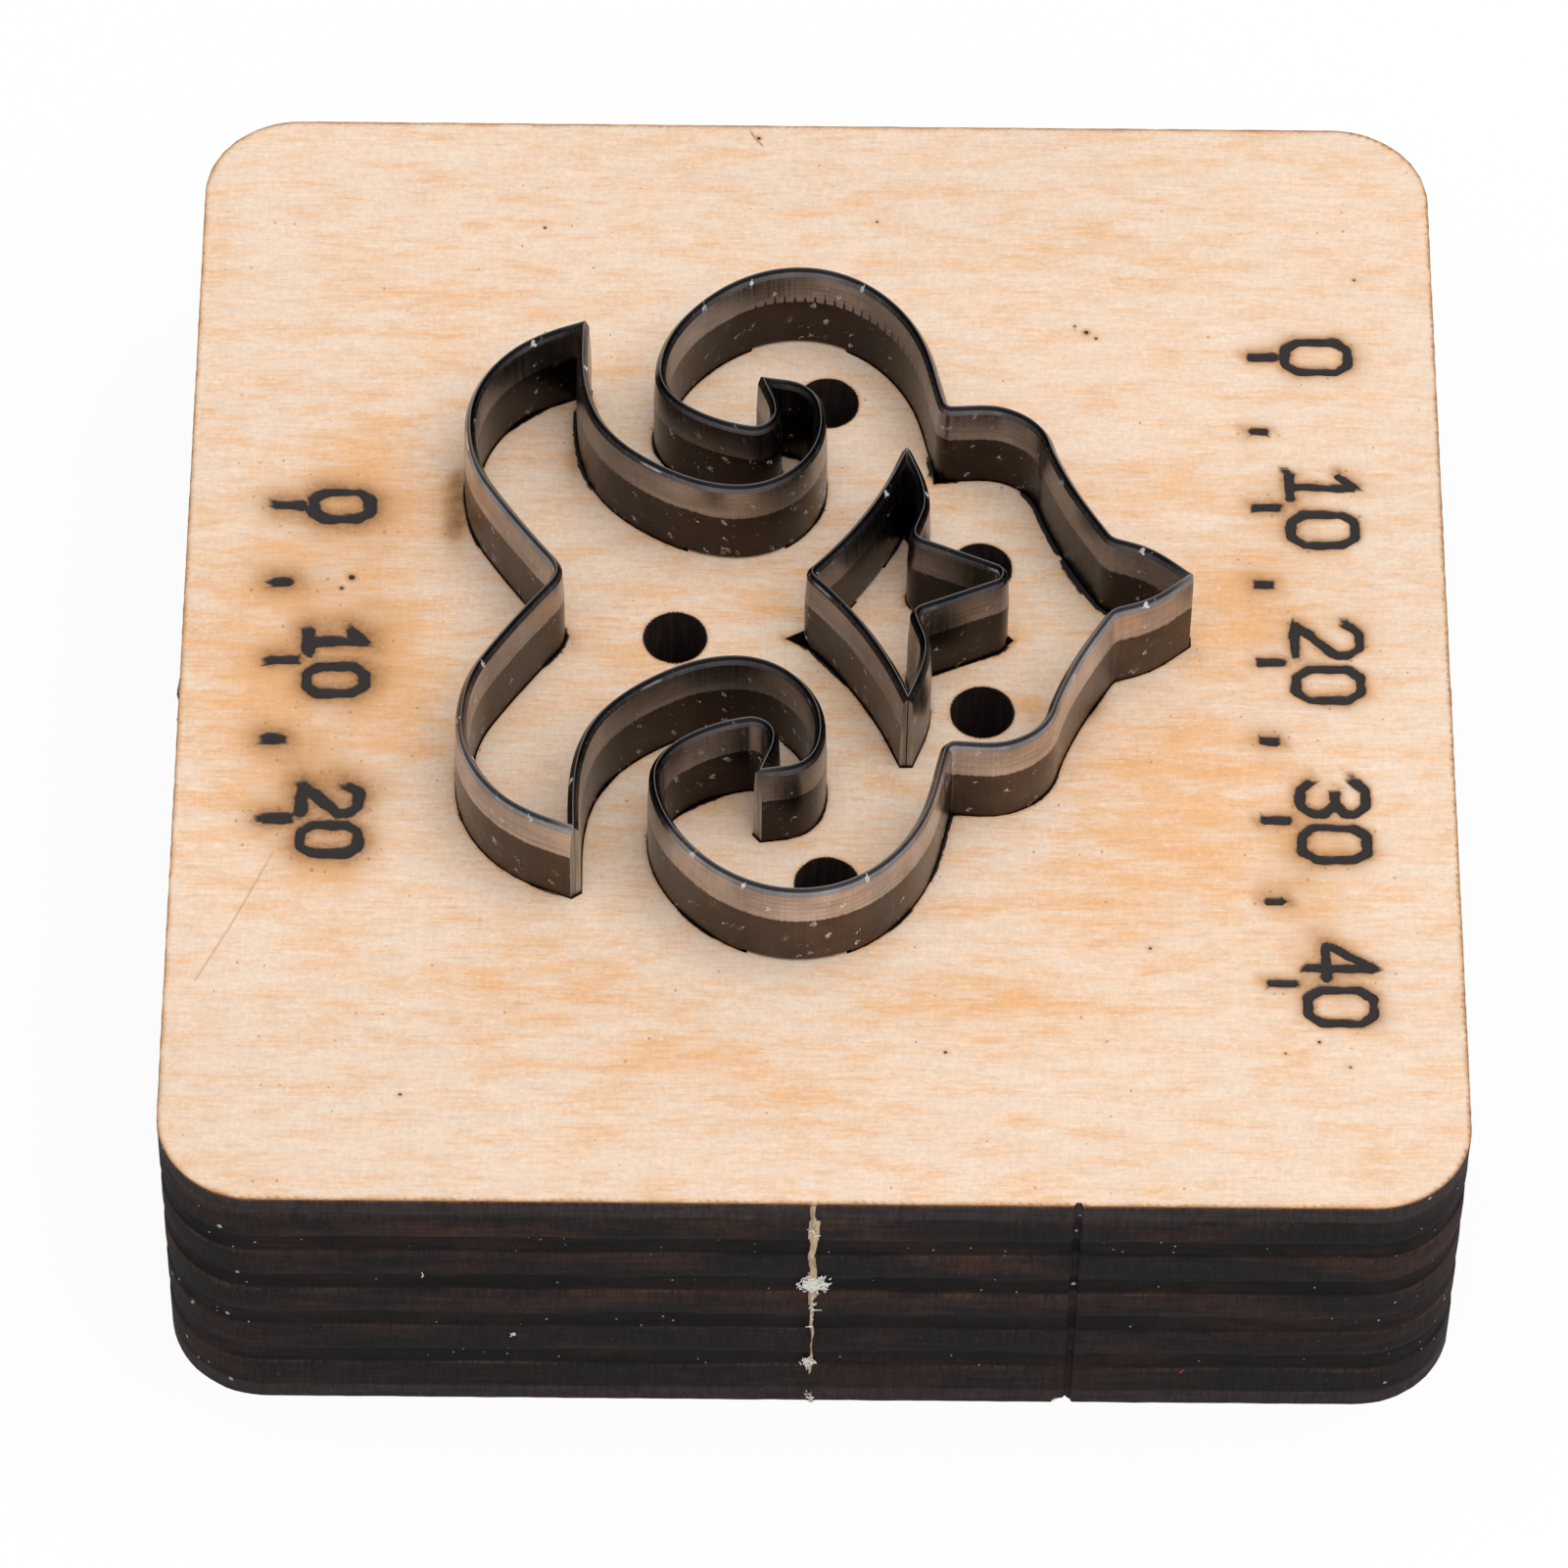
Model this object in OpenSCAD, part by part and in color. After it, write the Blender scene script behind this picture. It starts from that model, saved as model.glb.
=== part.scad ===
// Steel rule die: bent strips of cutting rule pressed into the slots of a laser-cut plywood board.
// Millimetres, +Z up. The origin is the centre of the board's back, the face that it rests on.
// The strips stand on edge in the board with their cutting edges up.

/* [Board] */
// Width of the board, left to right
board_w = 65; // [56:0.5:90]
// Depth of the board, front to back
board_d = 69; // [58:0.5:90]
// Thickness of the board
board_t = 18; // [15:0.5:20]
// Radius of the board's upright corners
corner_r = 5; // [1:0.5:12]
// Thickness of the face ply on the top and on the back
face_ply_t = 1.2; // [0.6:0.1:1.6]
// Thickness of a cross ply, whose end grain is burnt back
cross_ply_t = 1.3; // [0.6:0.1:1.6]
// Depth that the cross plies are burnt back
burn_depth = 0.15; // [0.05:0.05:0.6]

/* [Cutting rule] */
// Height of the rule, from its foot to its cutting edge
rule_h = 23.8; // [23:0.1:26]
// Thickness of the rule
rule_t = 0.71; // [0.5:0.01:1.05]
// Height of the ground band below the cutting bevel
grind_h = 1.9; // [1:0.05:2.65]
// Depth ground off each side at the top of that band
grind_in = 0.085; // [0.03:0.005:0.15]
// Height of the cutting bevel
bevel_h = 0.45; // [0.2:0.05:0.8]
// Width of the cutting edge itself
edge_t = 0.04; // [0.02:0.01:0.08]
// Clearance between two rules where they meet at a tip
tip_gap = 0.04; // [0.02:0.01:0.1]
// Length that a tip's blunt nose stands past the point where its cutting edges meet
nose_l = 0.15; // [0.05:0.05:0.5]

/* [Motif] */
// Width of the outline that the die cuts, left to right
motif_w = 36.85; // [34:0.05:40]
// Depth of the outline that the die cuts, front to back
motif_d = 39.6; // [37:0.1:43]
// Distance of the outline's middle from the board's middle, left to right
motif_x = 0.6; // [-3:0.1:3]
// Distance of the outline's axis from the board's middle, front to back
motif_y = 0.2; // [-3:0.1:3]

/* [Slots and bridges] */
// Clearance between a rule's side and the wall of its slot
slot_gap = 0.05; // [0.02:0.01:0.15]
// Length that a slot runs on past a rule's tip
tip_overcut = 0.1; // [0.05:0.05:0.3]
// Length that the corner of a slot runs on past the loop's tight bend
loop_overcut = 0.5; // [0.1:0.05:0.8]
// Length that the corner of a slot runs on past the bend of the inner chevron
chevron_overcut = 0.95; // [0.1:0.05:1.2]
// Length that the corner of a slot runs on past the bend of the inner arrow
arrow_overcut = 0.3; // [0.1:0.05:0.8]
// Length that the corner of a slot runs on past the bend of the left notch
notch_overcut = 0.2; // [0.1:0.05:0.8]
// Length of the bridges of uncut wood in the outer outline
bridge_l = 5; // [3:0.5:6]
// Length of the bridges in the inner outline
inner_bridge_l = 2.6; // [2:0.1:3]
// Clearance round a bridge in the notch of its rule
bridge_gap = 0.2; // [0.1:0.05:0.4]

/* [Push-out holes] */
// Diameter of the push-out holes
hole_d = 3.2; // [2:0.1:4]

/* [Edge marks] */
// Width of the torn holding tabs
tab_w = 0.8; // [0.4:0.1:1.5]
// Height that the torn tabs stand out of the edge
tab_out = 0.3; // [0.1:0.05:0.5]
// Distance of the side tabs from the board's middle, towards the front
side_tab_y = 3; // [0:0.5:15]
// Distance of the lead-in groove in the front edge from the board's middle
groove_x = 13; // [6:0.5:22]
// Width of the lead-in groove
groove_w = 0.4; // [0.2:0.1:1]
// Depth of the lead-in groove
groove_depth = 0.25; // [0.1:0.05:0.6]
// Diameter of the pierce nick at the foot of the lead-in groove
pierce_d = 0.8; // [0.4:0.1:1.5]

/* [Hidden] */
$fn = 96;
wood_colour = [0.90, 0.78, 0.62];
steel_colour = [0.36, 0.31, 0.27];

// Longest step along a curve and widest turn between two stations of a rule
step_l = 1.2;
step_turn = 6;
// Straight end of a rule, longer than its mitre
straight_end = 1.3;
// Amount by which a cut runs out of what it cuts
run_out = 1;
slot_w = rule_t + 2 * slot_gap;
// Width of the block that clears a curved slot along a bridge
bridge_w = 3;
// Size of the block that trims a mitred tip
trim_block = 2;

long_plies = 5;
cross_plies = long_plies - 1;
long_ply_t = (board_t - 2 * face_ply_t - cross_plies * cross_ply_t) / long_plies;

// The motif's drawing, round its middle. Each knot is a place and the direction, in degrees, in which a
// strip runs through it. The motif is alike on both sides of its axis, so only the upper half is drawn.
horn = [-12.7, 16.1];
scroll_tip = [-3.4, 12.5];
right_tip = [18.4, 0];
inner_tip = [4, 7.9];
lobe_outer = [-18.45, 9.5, 270];
arm_inner = [-4.7, 5.45, 0];
loop_outer = [-1.5, 19.8, 180];
bend_in = [6.35, 10.68, 181];
bend_out = [5.88, 11.05, 105];
lobe_half = [
    [each horn, 200], [-16.3, 14.2, 222], lobe_outer, [-17.4, 5.5, 302],
    [-14.25, 1, 308], [-13.8, 0, 270]
];
arm_drawn = [
    [each horn, 268], [-12.1, 10.3, 292], [-8.9, 6.85, 328], arm_inner,
    [-0.4, 9.8, 90], [-1.5, 12.1, 155], [each scroll_tip, 172]
];
loop_drawn = [
    [each right_tip, 140], [16.3, 1.6, 152], [14.8, 2.15, 163], [14.2, 2.6, 122],
    [12, 6.6, 113], [11.3, 8.5, 105], [9.1, 10.6, 162], bend_in, bend_out,
    [5.1, 14.3, 107], loop_outer, [-7.1, 16.9, 230], [-8.7, 12.9, 270],
    [-7.3, 10.6, 325], [-4.1, 9.3, 350], [-2.75, 10.4, 92], [each scroll_tip, 112]
];
chevron_half = [[each inner_tip, 250], [-0.69, 0.35, 226], [-0.84, 0, 270]];
arrow_half = [
    [each inner_tip, 292], [4.9, 4.6, 270], [4.41, 2.72, 257], [4.8, 2.08, 338],
    [8.55, 0.49, 337], [8.87, 0, 270]
];

// The size of the drawing, between its outermost knots
drawn_w = right_tip.x - lobe_outer.x;
drawn_d = 2 * loop_outer.y;

// Bridges of uncut wood: a place on a strip and the strip's direction there
loop_bridge = loop_outer;
arm_bridge = arm_inner;
chevron_bridge = [1.94, 3.69, 238];
arrow_bridge = [6.72, 1.29, 337];

// Push-out holes: one on the axis, and one in each loop and beside each shoulder
axis_hole = [-7.8, 0];
loop_hole = [0, 15.4];
shoulder_hole = [7.9, 4.6];

// The drawing carried to the motif's size and place
motif_sx = motif_w / drawn_w;
motif_sy = motif_d / drawn_d;
function placed(p) = [motif_x + motif_sx * p.x, motif_y + motif_sy * p.y];
function placed_knot(k) = [each placed(k), atan2(motif_sy * sin(k[2]), motif_sx * cos(k[2]))];
function placed_knots(list) = [for (k = list) placed_knot(k)];
function reversed(list) = [for (i = [len(list) - 1:-1:0]) list[i]];
function other_half(list) = [for (i = [len(list) - 2:-1:0]) [list[i].x, -list[i].y, 180 - list[i][2]]];

// The cubic curve between two knots, close to an arc where they allow one
function flat(k) = [k.x, k.y];
function along(h) = [cos(h), sin(h)];
function across(h) = [-sin(h), cos(h)];
function turn(from, to) = let (d = (to - from) % 360) d > 180 ? d - 360 : d < -180 ? d + 360 : d;
function reach(a, b) = norm(flat(b) - flat(a)) / (3 * pow(cos(turn(a[2], b[2]) / 4), 2));
function curve(a, b) =
    let (r = reach(a, b)) [flat(a), flat(a) + r * along(a[2]), flat(b) - r * along(b[2]), flat(b)];
function curve_point(c, t) =
    let (s = 1 - t) s * s * s * c[0] + 3 * s * s * t * c[1] + 3 * s * t * t * c[2] + t * t * t * c[3];
function curve_heading(c, t) =
    let (s = 1 - t, v = s * s * (c[1] - c[0]) + 2 * s * t * (c[2] - c[1]) + t * t * (c[3] - c[2]))
    atan2(v.y, v.x);
function curve_steps(a, b) =
    max(1, ceil(norm(flat(b) - flat(a)) / step_l), ceil(abs(turn(a[2], b[2])) / step_turn));

// A strip's stations [x, y, direction], with none inside its straight ends
function close_stations(knots) = [
    for (i = [0:len(knots) - 2])
        let (a = knots[i], b = knots[i + 1], c = curve(a, b), n = curve_steps(a, b))
        for (j = [0:n - 1]) [each curve_point(c, j / n), curve_heading(c, j / n)],
    knots[len(knots) - 1]
];
function apart(a, b) = norm(flat(a) - flat(b));
function stations(knots) = let (s = close_stations(knots), last = len(s) - 1) [
    for (i = [0:last])
        if (i == 0 || i == last || min(apart(s[i], s[0]), apart(s[i], s[last])) > straight_end) s[i]
];

lobe = stations(placed_knots(concat(lobe_half, other_half(lobe_half))));
arm = stations(placed_knots(arm_drawn));
loop = stations(placed_knots(loop_drawn));
chevron = stations(placed_knots(concat(chevron_half, other_half(chevron_half))));
arrow = stations(placed_knots(concat(arrow_half, other_half(arrow_half))));

// The direction in which a strip leaves its first or its last tip
function heading_between(a, b) = let (v = flat(b) - flat(a)) atan2(v.y, v.x);
function leaves_first(s) = heading_between(s[0], s[1]);
function leaves_last(s) = heading_between(s[len(s) - 1], s[len(s) - 2]);

// A tip, as one of its two strips sees it: its place and the half angle round to the other strip
function tip(place, own, other) = [place, own, turn(own, other) / 2];
upper_horn = tip(flat(lobe[0]), leaves_first(lobe), leaves_first(arm));
lower_horn = tip(flat(lobe[len(lobe) - 1]), leaves_last(lobe), -leaves_first(arm));
arm_horn = tip(flat(arm[0]), leaves_first(arm), leaves_first(lobe));
arm_scroll = tip(flat(arm[len(arm) - 1]), leaves_last(arm), leaves_last(loop));
loop_scroll = tip(flat(loop[len(loop) - 1]), leaves_last(loop), leaves_last(arm));
loop_right = tip(flat(loop[0]), leaves_first(loop), -leaves_first(loop));
chevron_upper = tip(flat(chevron[0]), leaves_first(chevron), leaves_first(arrow));
chevron_lower = tip(flat(chevron[len(chevron) - 1]), leaves_last(chevron), leaves_last(arrow));
arrow_upper = tip(flat(arrow[0]), leaves_first(arrow), leaves_first(chevron));
arrow_lower = tip(flat(arrow[len(arrow) - 1]), leaves_last(arrow), leaves_last(chevron));

// A place on a strip, w to the left of its direction. At the two tips the place lies on the bisector
// between the two strips, or beyond it by extra.
function lean(t) = cos(t[2]) / sin(t[2]);
function place_on(s, tips, i, w, extra) = let (
    last = len(s) - 1,
    h = i == 0 ? leaves_first(s) : i == last ? leaves_last(s) + 180 : s[i][2],
    shift = i == 0 ? w * lean(tips[0]) - extra : i == last ? w * lean(tips[1]) + extra : 0)
    flat(s[i]) + w * across(h) + shift * along(h);

// The strip's section [w, z], from its foot up to the cutting edge and down again
bevel_z = rule_h - bevel_h;
grind_z = bevel_z - grind_h;
body_half = rule_t / 2;
bevel_half = body_half - grind_in;
edge_half = edge_t / 2;
rule_section = [
    [-body_half, 0], [body_half, 0], [body_half, grind_z], [bevel_half, bevel_z],
    [edge_half, rule_h], [-edge_half, rule_h], [-bevel_half, bevel_z], [-body_half, grind_z]
];

// A strip: its section carried along its stations
module swept_strip(s, tips) {
    n = len(s);
    m = len(rule_section);
    points = [
        for (i = [0:n - 1]) for (q = rule_section) [each place_on(s, tips, i, q[0], -tip_gap), q[1]]
    ];
    sides = [
        for (i = [0:n - 2]) for (j = [0:m - 1]) let (k = (j + 1) % m)
            [i * m + j, (i + 1) * m + j, (i + 1) * m + k, i * m + k]
    ];
    first_end = [for (j = [0:m - 1]) j];
    last_end = [for (j = [m - 1:-1:0]) (n - 1) * m + j];
    polyhedron(points, concat([first_end, last_end], sides));
}

// What lies past a tip by more than distance, in plan
module past_tip(t, distance) {
    translate(t[0]) rotate(t[1] + t[2] + 180) translate([distance, -trim_block / 2]) square(trim_block);
}

// The upright block of a bridge
module bridge_block(k, length, height) {
    b = placed_knot(k);
    translate([b.x, b.y, height / 2]) rotate(b[2]) cube([length, bridge_w, height], center = true);
}

// A rule: a strip with blunt tips and a notch over each bridge [place, length]
module rule(s, tips, bridges) {
    color(steel_colour) difference() {
        swept_strip(s, tips);
        for (t = tips) translate([0, 0, -run_out]) linear_extrude(rule_h + 2 * run_out) past_tip(t, nose_l);
        for (b = bridges) translate([0, 0, -run_out])
            bridge_block(b[0], b[1] + 2 * bridge_gap, board_t + bridge_gap + run_out);
    }
}

// A rule's slot in plan, running on past the tips
module slot_plan(s, tips) {
    last = len(s) - 1;
    left = [for (i = [0:last]) place_on(s, tips, i, slot_w / 2, tip_overcut)];
    right = [for (i = [0:last]) place_on(s, tips, i, -slot_w / 2, tip_overcut)];
    difference() {
        polygon(concat(left, reversed(right)));
        for (t = tips) past_tip(t, nose_l + tip_overcut);
    }
}

// The sharp corner that the laser cuts where a rule bends tightly between two knots. side is 1 where the
// corner lies to the left of the strip's direction and -1 where it lies to the right.
module bend_corner(before, after, side, overcut) {
    a = placed_knot(before);
    b = placed_knot(after);
    c = curve(a, b);
    half = side * slot_w / 2;
    apex = curve_point(c, 0.5) + (half + side * overcut) * across(curve_heading(c, 0.5));
    polygon([flat(a), flat(a) + half * across(a[2]), apex, flat(b) + half * across(b[2]), flat(b)]);
}

// The same for a bend on the axis, from the last two knots of a drawn half
module axis_corner(half_knots, side, overcut) {
    n = len(half_knots);
    bend_corner(half_knots[n - 2], other_half(half_knots)[0], side, overcut);
}

// What lies below the motif's axis, as the mirror image of what lies above it
module lower_half() {
    translate([0, 2 * motif_y, 0]) mirror([0, 1, 0]) children();
}

module both_sides() {
    children();
    lower_half() children();
}

// The slots of the outer outline, then of the inner one, with their bridges left standing
module outer_slots() {
    height = board_t + 2 * run_out;
    difference() {
        translate([0, 0, -run_out]) union() {
            linear_extrude(height) slot_plan(lobe, [upper_horn, lower_horn]);
            linear_extrude(height) axis_corner(lobe_half, 1, notch_overcut);
            both_sides() {
                linear_extrude(height) slot_plan(arm, [arm_horn, arm_scroll]);
                linear_extrude(height) slot_plan(loop, [loop_right, loop_scroll]);
                linear_extrude(height) bend_corner(bend_in, bend_out, 1, loop_overcut);
            }
        }
        both_sides() for (b = [loop_bridge, arm_bridge])
            translate([0, 0, -2 * run_out]) bridge_block(b, bridge_l, board_t + 4 * run_out);
    }
}

module inner_slots() {
    height = board_t + 2 * run_out;
    difference() {
        translate([0, 0, -run_out]) union() {
            linear_extrude(height) slot_plan(chevron, [chevron_upper, chevron_lower]);
            linear_extrude(height) slot_plan(arrow, [arrow_upper, arrow_lower]);
            linear_extrude(height) axis_corner(chevron_half, -1, chevron_overcut);
            linear_extrude(height) axis_corner(arrow_half, 1, arrow_overcut);
        }
        for (b = [chevron_bridge, arrow_bridge])
            translate([0, 0, -2 * run_out]) bridge_block(b, inner_bridge_l, board_t + 4 * run_out);
    }
}

// The board's outline, drawn in by inset
module board_plan(inset) {
    w = board_w - 2 * inset;
    d = board_d - 2 * inset;
    r = corner_r - inset;
    square([w - 2 * r, d], center = true);
    square([w, d - 2 * r], center = true);
    for (x = [-1, 1], y = [-1, 1]) translate([x * (w / 2 - r), y * (d / 2 - r)]) circle(r);
}

// The plies: the cross plies are burnt back between the long plies, and a face ply closes each side
module plies() {
    pitch = long_ply_t + cross_ply_t;
    linear_extrude(board_t) board_plan(burn_depth);
    for (i = [0:long_plies - 1]) {
        low = i == 0 ? 0 : face_ply_t + i * pitch;
        high = i == long_plies - 1 ? board_t : face_ply_t + i * pitch + long_ply_t;
        translate([0, 0, low]) linear_extrude(high - low) board_plan(0);
    }
}

// A torn holding tab on an edge: direction points out of the board
module torn_tab(edge, direction, offset) {
    rotate(direction) translate([edge - burn_depth - run_out, offset - tab_w / 2, 0])
        cube([burn_depth + run_out + tab_out, tab_w, board_t]);
}

// The groove where the laser came in to the front edge, with the nick where it pierced the sheet
module lead_in_groove() {
    translate([groove_x, -board_d / 2, 0]) {
        translate([-groove_w / 2, -run_out, -run_out])
            cube([groove_w, run_out + groove_depth, board_t + 2 * run_out]);
        translate([-pierce_d / 2, -run_out, 0]) rotate([-90, 0, 0])
            cylinder(d = pierce_d, h = run_out + groove_depth);
    }
}

module push_out_hole(p) {
    c = placed(p);
    translate([c.x, c.y, -run_out]) cylinder(d = hole_d, h = board_t + 2 * run_out);
}

module die_board() {
    color(wood_colour) difference() {
        union() {
            plies();
            torn_tab(board_d / 2, -90, 0);
            torn_tab(board_w / 2, 0, -side_tab_y);
            torn_tab(board_w / 2, 180, side_tab_y);
        }
        outer_slots();
        inner_slots();
        push_out_hole(axis_hole);
        both_sides() {
            push_out_hole(loop_hole);
            push_out_hole(shoulder_hole);
        }
        lead_in_groove();
    }
}

module left_lobe_rule() {
    rule(lobe, [upper_horn, lower_horn], []);
}

module upper_arm_rule() {
    rule(arm, [arm_horn, arm_scroll], [[arm_bridge, bridge_l]]);
}

module upper_loop_rule() {
    rule(loop, [loop_right, loop_scroll], [[loop_bridge, bridge_l]]);
}

module lower_loop_rule() {
    lower_half() upper_loop_rule();
}

module lower_arm_rule() {
    lower_half() upper_arm_rule();
}

module inner_chevron_rule() {
    rule(chevron, [chevron_upper, chevron_lower], [[chevron_bridge, inner_bridge_l]]);
}

module inner_arrow_rule() {
    rule(arrow, [arrow_upper, arrow_lower], [[arrow_bridge, inner_bridge_l]]);
}

die_board();
left_lobe_rule();
upper_arm_rule();
upper_loop_rule();
lower_loop_rule();
lower_arm_rule();
inner_chevron_rule();
inner_arrow_rule();
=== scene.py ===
"""Looks of a small steel rule die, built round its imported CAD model.

The working is in millimetres, in the CAD frame, and MM turns it into metres where a mesh is made.
"""

import math

import bmesh
import bpy
import numpy as np
from mathutils import Matrix, Vector
from mathutils.geometry import delaunay_2d_cdt


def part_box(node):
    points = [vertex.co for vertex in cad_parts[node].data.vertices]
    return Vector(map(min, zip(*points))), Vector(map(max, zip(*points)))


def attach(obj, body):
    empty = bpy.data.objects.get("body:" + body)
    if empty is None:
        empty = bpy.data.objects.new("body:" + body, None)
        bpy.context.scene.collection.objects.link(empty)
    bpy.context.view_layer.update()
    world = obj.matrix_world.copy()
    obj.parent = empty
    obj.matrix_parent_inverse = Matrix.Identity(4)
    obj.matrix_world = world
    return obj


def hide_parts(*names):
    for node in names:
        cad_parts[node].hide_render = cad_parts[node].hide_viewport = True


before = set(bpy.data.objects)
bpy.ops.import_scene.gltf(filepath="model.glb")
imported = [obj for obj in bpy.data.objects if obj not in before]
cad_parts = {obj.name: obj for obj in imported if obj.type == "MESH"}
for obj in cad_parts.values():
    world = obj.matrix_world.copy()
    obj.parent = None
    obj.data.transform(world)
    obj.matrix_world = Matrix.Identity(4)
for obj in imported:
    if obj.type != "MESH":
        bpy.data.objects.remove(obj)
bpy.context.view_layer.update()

bl_info = {
    "name": "Steel rule die",
    "version": (1, 0, 0),
    "blender": (4, 5, 0),
    "location": "View3D > Sidebar > Rule die",
    "description": "Dresses the CAD model of a steel rule die with charred plywood and bent cutting rule",
    "category": "Object",
}

MM = 0.001
BODY = "root"

# The board as the CAD has it
BOARD_W = 65.0
BOARD_D = 69.0
BOARD_T = float(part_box("die_board")[1][2] / MM)
CORNER_R = 5.0
CORE = np.array((BOARD_W / 2 - CORNER_R, BOARD_D / 2 - CORNER_R))

# The motif's knots [x, y, direction in degrees], round the motif's middle, as the CAD has them
MOTIF_X = 0.6
MOTIF_Y = 0.2
HORN = (-12.7, 16.1)
SCROLL_TIP = (-3.4, 12.5)
RIGHT_TIP = (18.4, 0)
INNER_TIP = (4, 7.9)
LOBE_HALF = [
    (*HORN, 200), (-16.3, 14.2, 222), (-18.45, 9.5, 270), (-17.4, 5.5, 302),
    (-14.25, 1, 308), (-13.8, 0, 270),
]
ARM = [
    (*HORN, 268), (-12.1, 10.3, 292), (-8.9, 6.85, 328), (-4.7, 5.45, 0),
    (-0.4, 9.8, 90), (-1.5, 12.1, 155), (*SCROLL_TIP, 172),
]
LOOP = [
    (*RIGHT_TIP, 140), (16.3, 1.6, 152), (14.8, 2.15, 163), (14.2, 2.6, 122),
    (12, 6.6, 113), (11.3, 8.5, 105), (9.1, 10.6, 162), (6.35, 10.68, 181), (5.88, 11.05, 105),
    (5.1, 14.3, 107), (-1.5, 19.8, 180), (-7.1, 16.9, 230), (-8.7, 12.9, 270),
    (-7.3, 10.6, 325), (-4.1, 9.3, 350), (-2.75, 10.4, 92), (*SCROLL_TIP, 112),
]
CHEVRON_HALF = [(*INNER_TIP, 250), (-0.69, 0.35, 226), (-0.84, 0, 270)]
ARROW_HALF = [
    (*INNER_TIP, 292), (4.9, 4.6, 270), (4.41, 2.72, 257), (4.8, 2.08, 338),
    (8.55, 0.49, 337), (8.87, 0, 270),
]
LOOP_BRIDGE = (-1.5, 19.8)
ARM_BRIDGE = (-4.7, 5.45)
CHEVRON_BRIDGE = (1.94, 3.69)
ARROW_BRIDGE = (6.72, 1.29)
HOLES = [(-7.8, 0), (0, 15.4), (0, -15.4), (7.9, 4.6), (7.9, -4.6)]
HOLE_R = 1.6

# The board's cross plies [low, high], torn tabs and groove as the CAD has them
CROSS_PLIES = ((3.28, 4.58), (6.66, 7.96), (10.04, 11.34), (13.42, 14.72))
TAB_OUT = 0.3
SIDE_TAB_Y = -3.0
GROOVE_X = 13.0
PIERCE_X = 12.6
PIERCE_R = 0.4

# What all colours and all lengths among the settings share
COLOUR = {"size": 3, "subtype": "COLOR", "min": 0, "max": 1}
LENGTH = {"unit": "LENGTH", "precision": 6}


class BoardLooks(bpy.types.PropertyGroup):
    """Colours and burn sizes of the plywood board."""

    pale_wood: bpy.props.FloatVectorProperty(
        name="Pale wood", description="Main colour of the face veneer",
        default=(0.860, 0.675, 0.525), **COLOUR)
    warm_wood: bpy.props.FloatVectorProperty(
        name="Warm wood", description="Colour of the veneer's warmer clouds",
        default=(0.850, 0.470, 0.225), **COLOUR)
    fleck_wood: bpy.props.FloatVectorProperty(
        name="Flecks", description="Colour of the short flecks along the grain",
        default=(0.80, 0.44, 0.18), **COLOUR)
    scorch: bpy.props.FloatVectorProperty(
        name="Scorch", description="Brown of the wood beside a burn",
        default=(0.21, 0.085, 0.03), **COLOUR)
    char: bpy.props.FloatVectorProperty(
        name="Char", description="Black of the burnt wood",
        default=(0.012, 0.008, 0.007), **COLOUR)
    long_ply: bpy.props.FloatVectorProperty(
        name="Long ply", description="Brown of the plies whose edge is only singed",
        default=(0.046, 0.024, 0.018), **COLOUR)
    dark_ply: bpy.props.FloatVectorProperty(
        name="Dark ply", description="Dark of the singed plies",
        default=(0.016, 0.0125, 0.013), **COLOUR)
    cross_ply: bpy.props.FloatVectorProperty(
        name="Cross ply", description="Black of the burnt-back cross plies",
        default=(0.0065, 0.0054, 0.0055), **COLOUR)
    torn_wood: bpy.props.FloatVectorProperty(
        name="Torn wood", description="Colour of the torn holding tabs",
        default=(0.60, 0.45, 0.30), **COLOUR)
    fibre: bpy.props.FloatVectorProperty(
        name="Fibres", description="Colour of the fibres that stand out of the torn tabs",
        default=(0.90, 0.88, 0.82), **COLOUR)
    mark_width: bpy.props.FloatProperty(
        name="Mark width", description="Width of a burnt stroke",
        default=0.00050, min=0.0002, max=0.001, **LENGTH)
    mark_depth: bpy.props.FloatProperty(
        name="Mark depth", description="Depth of a burnt stroke",
        default=0.00012, min=0, max=0.0005, **LENGTH)


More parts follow.
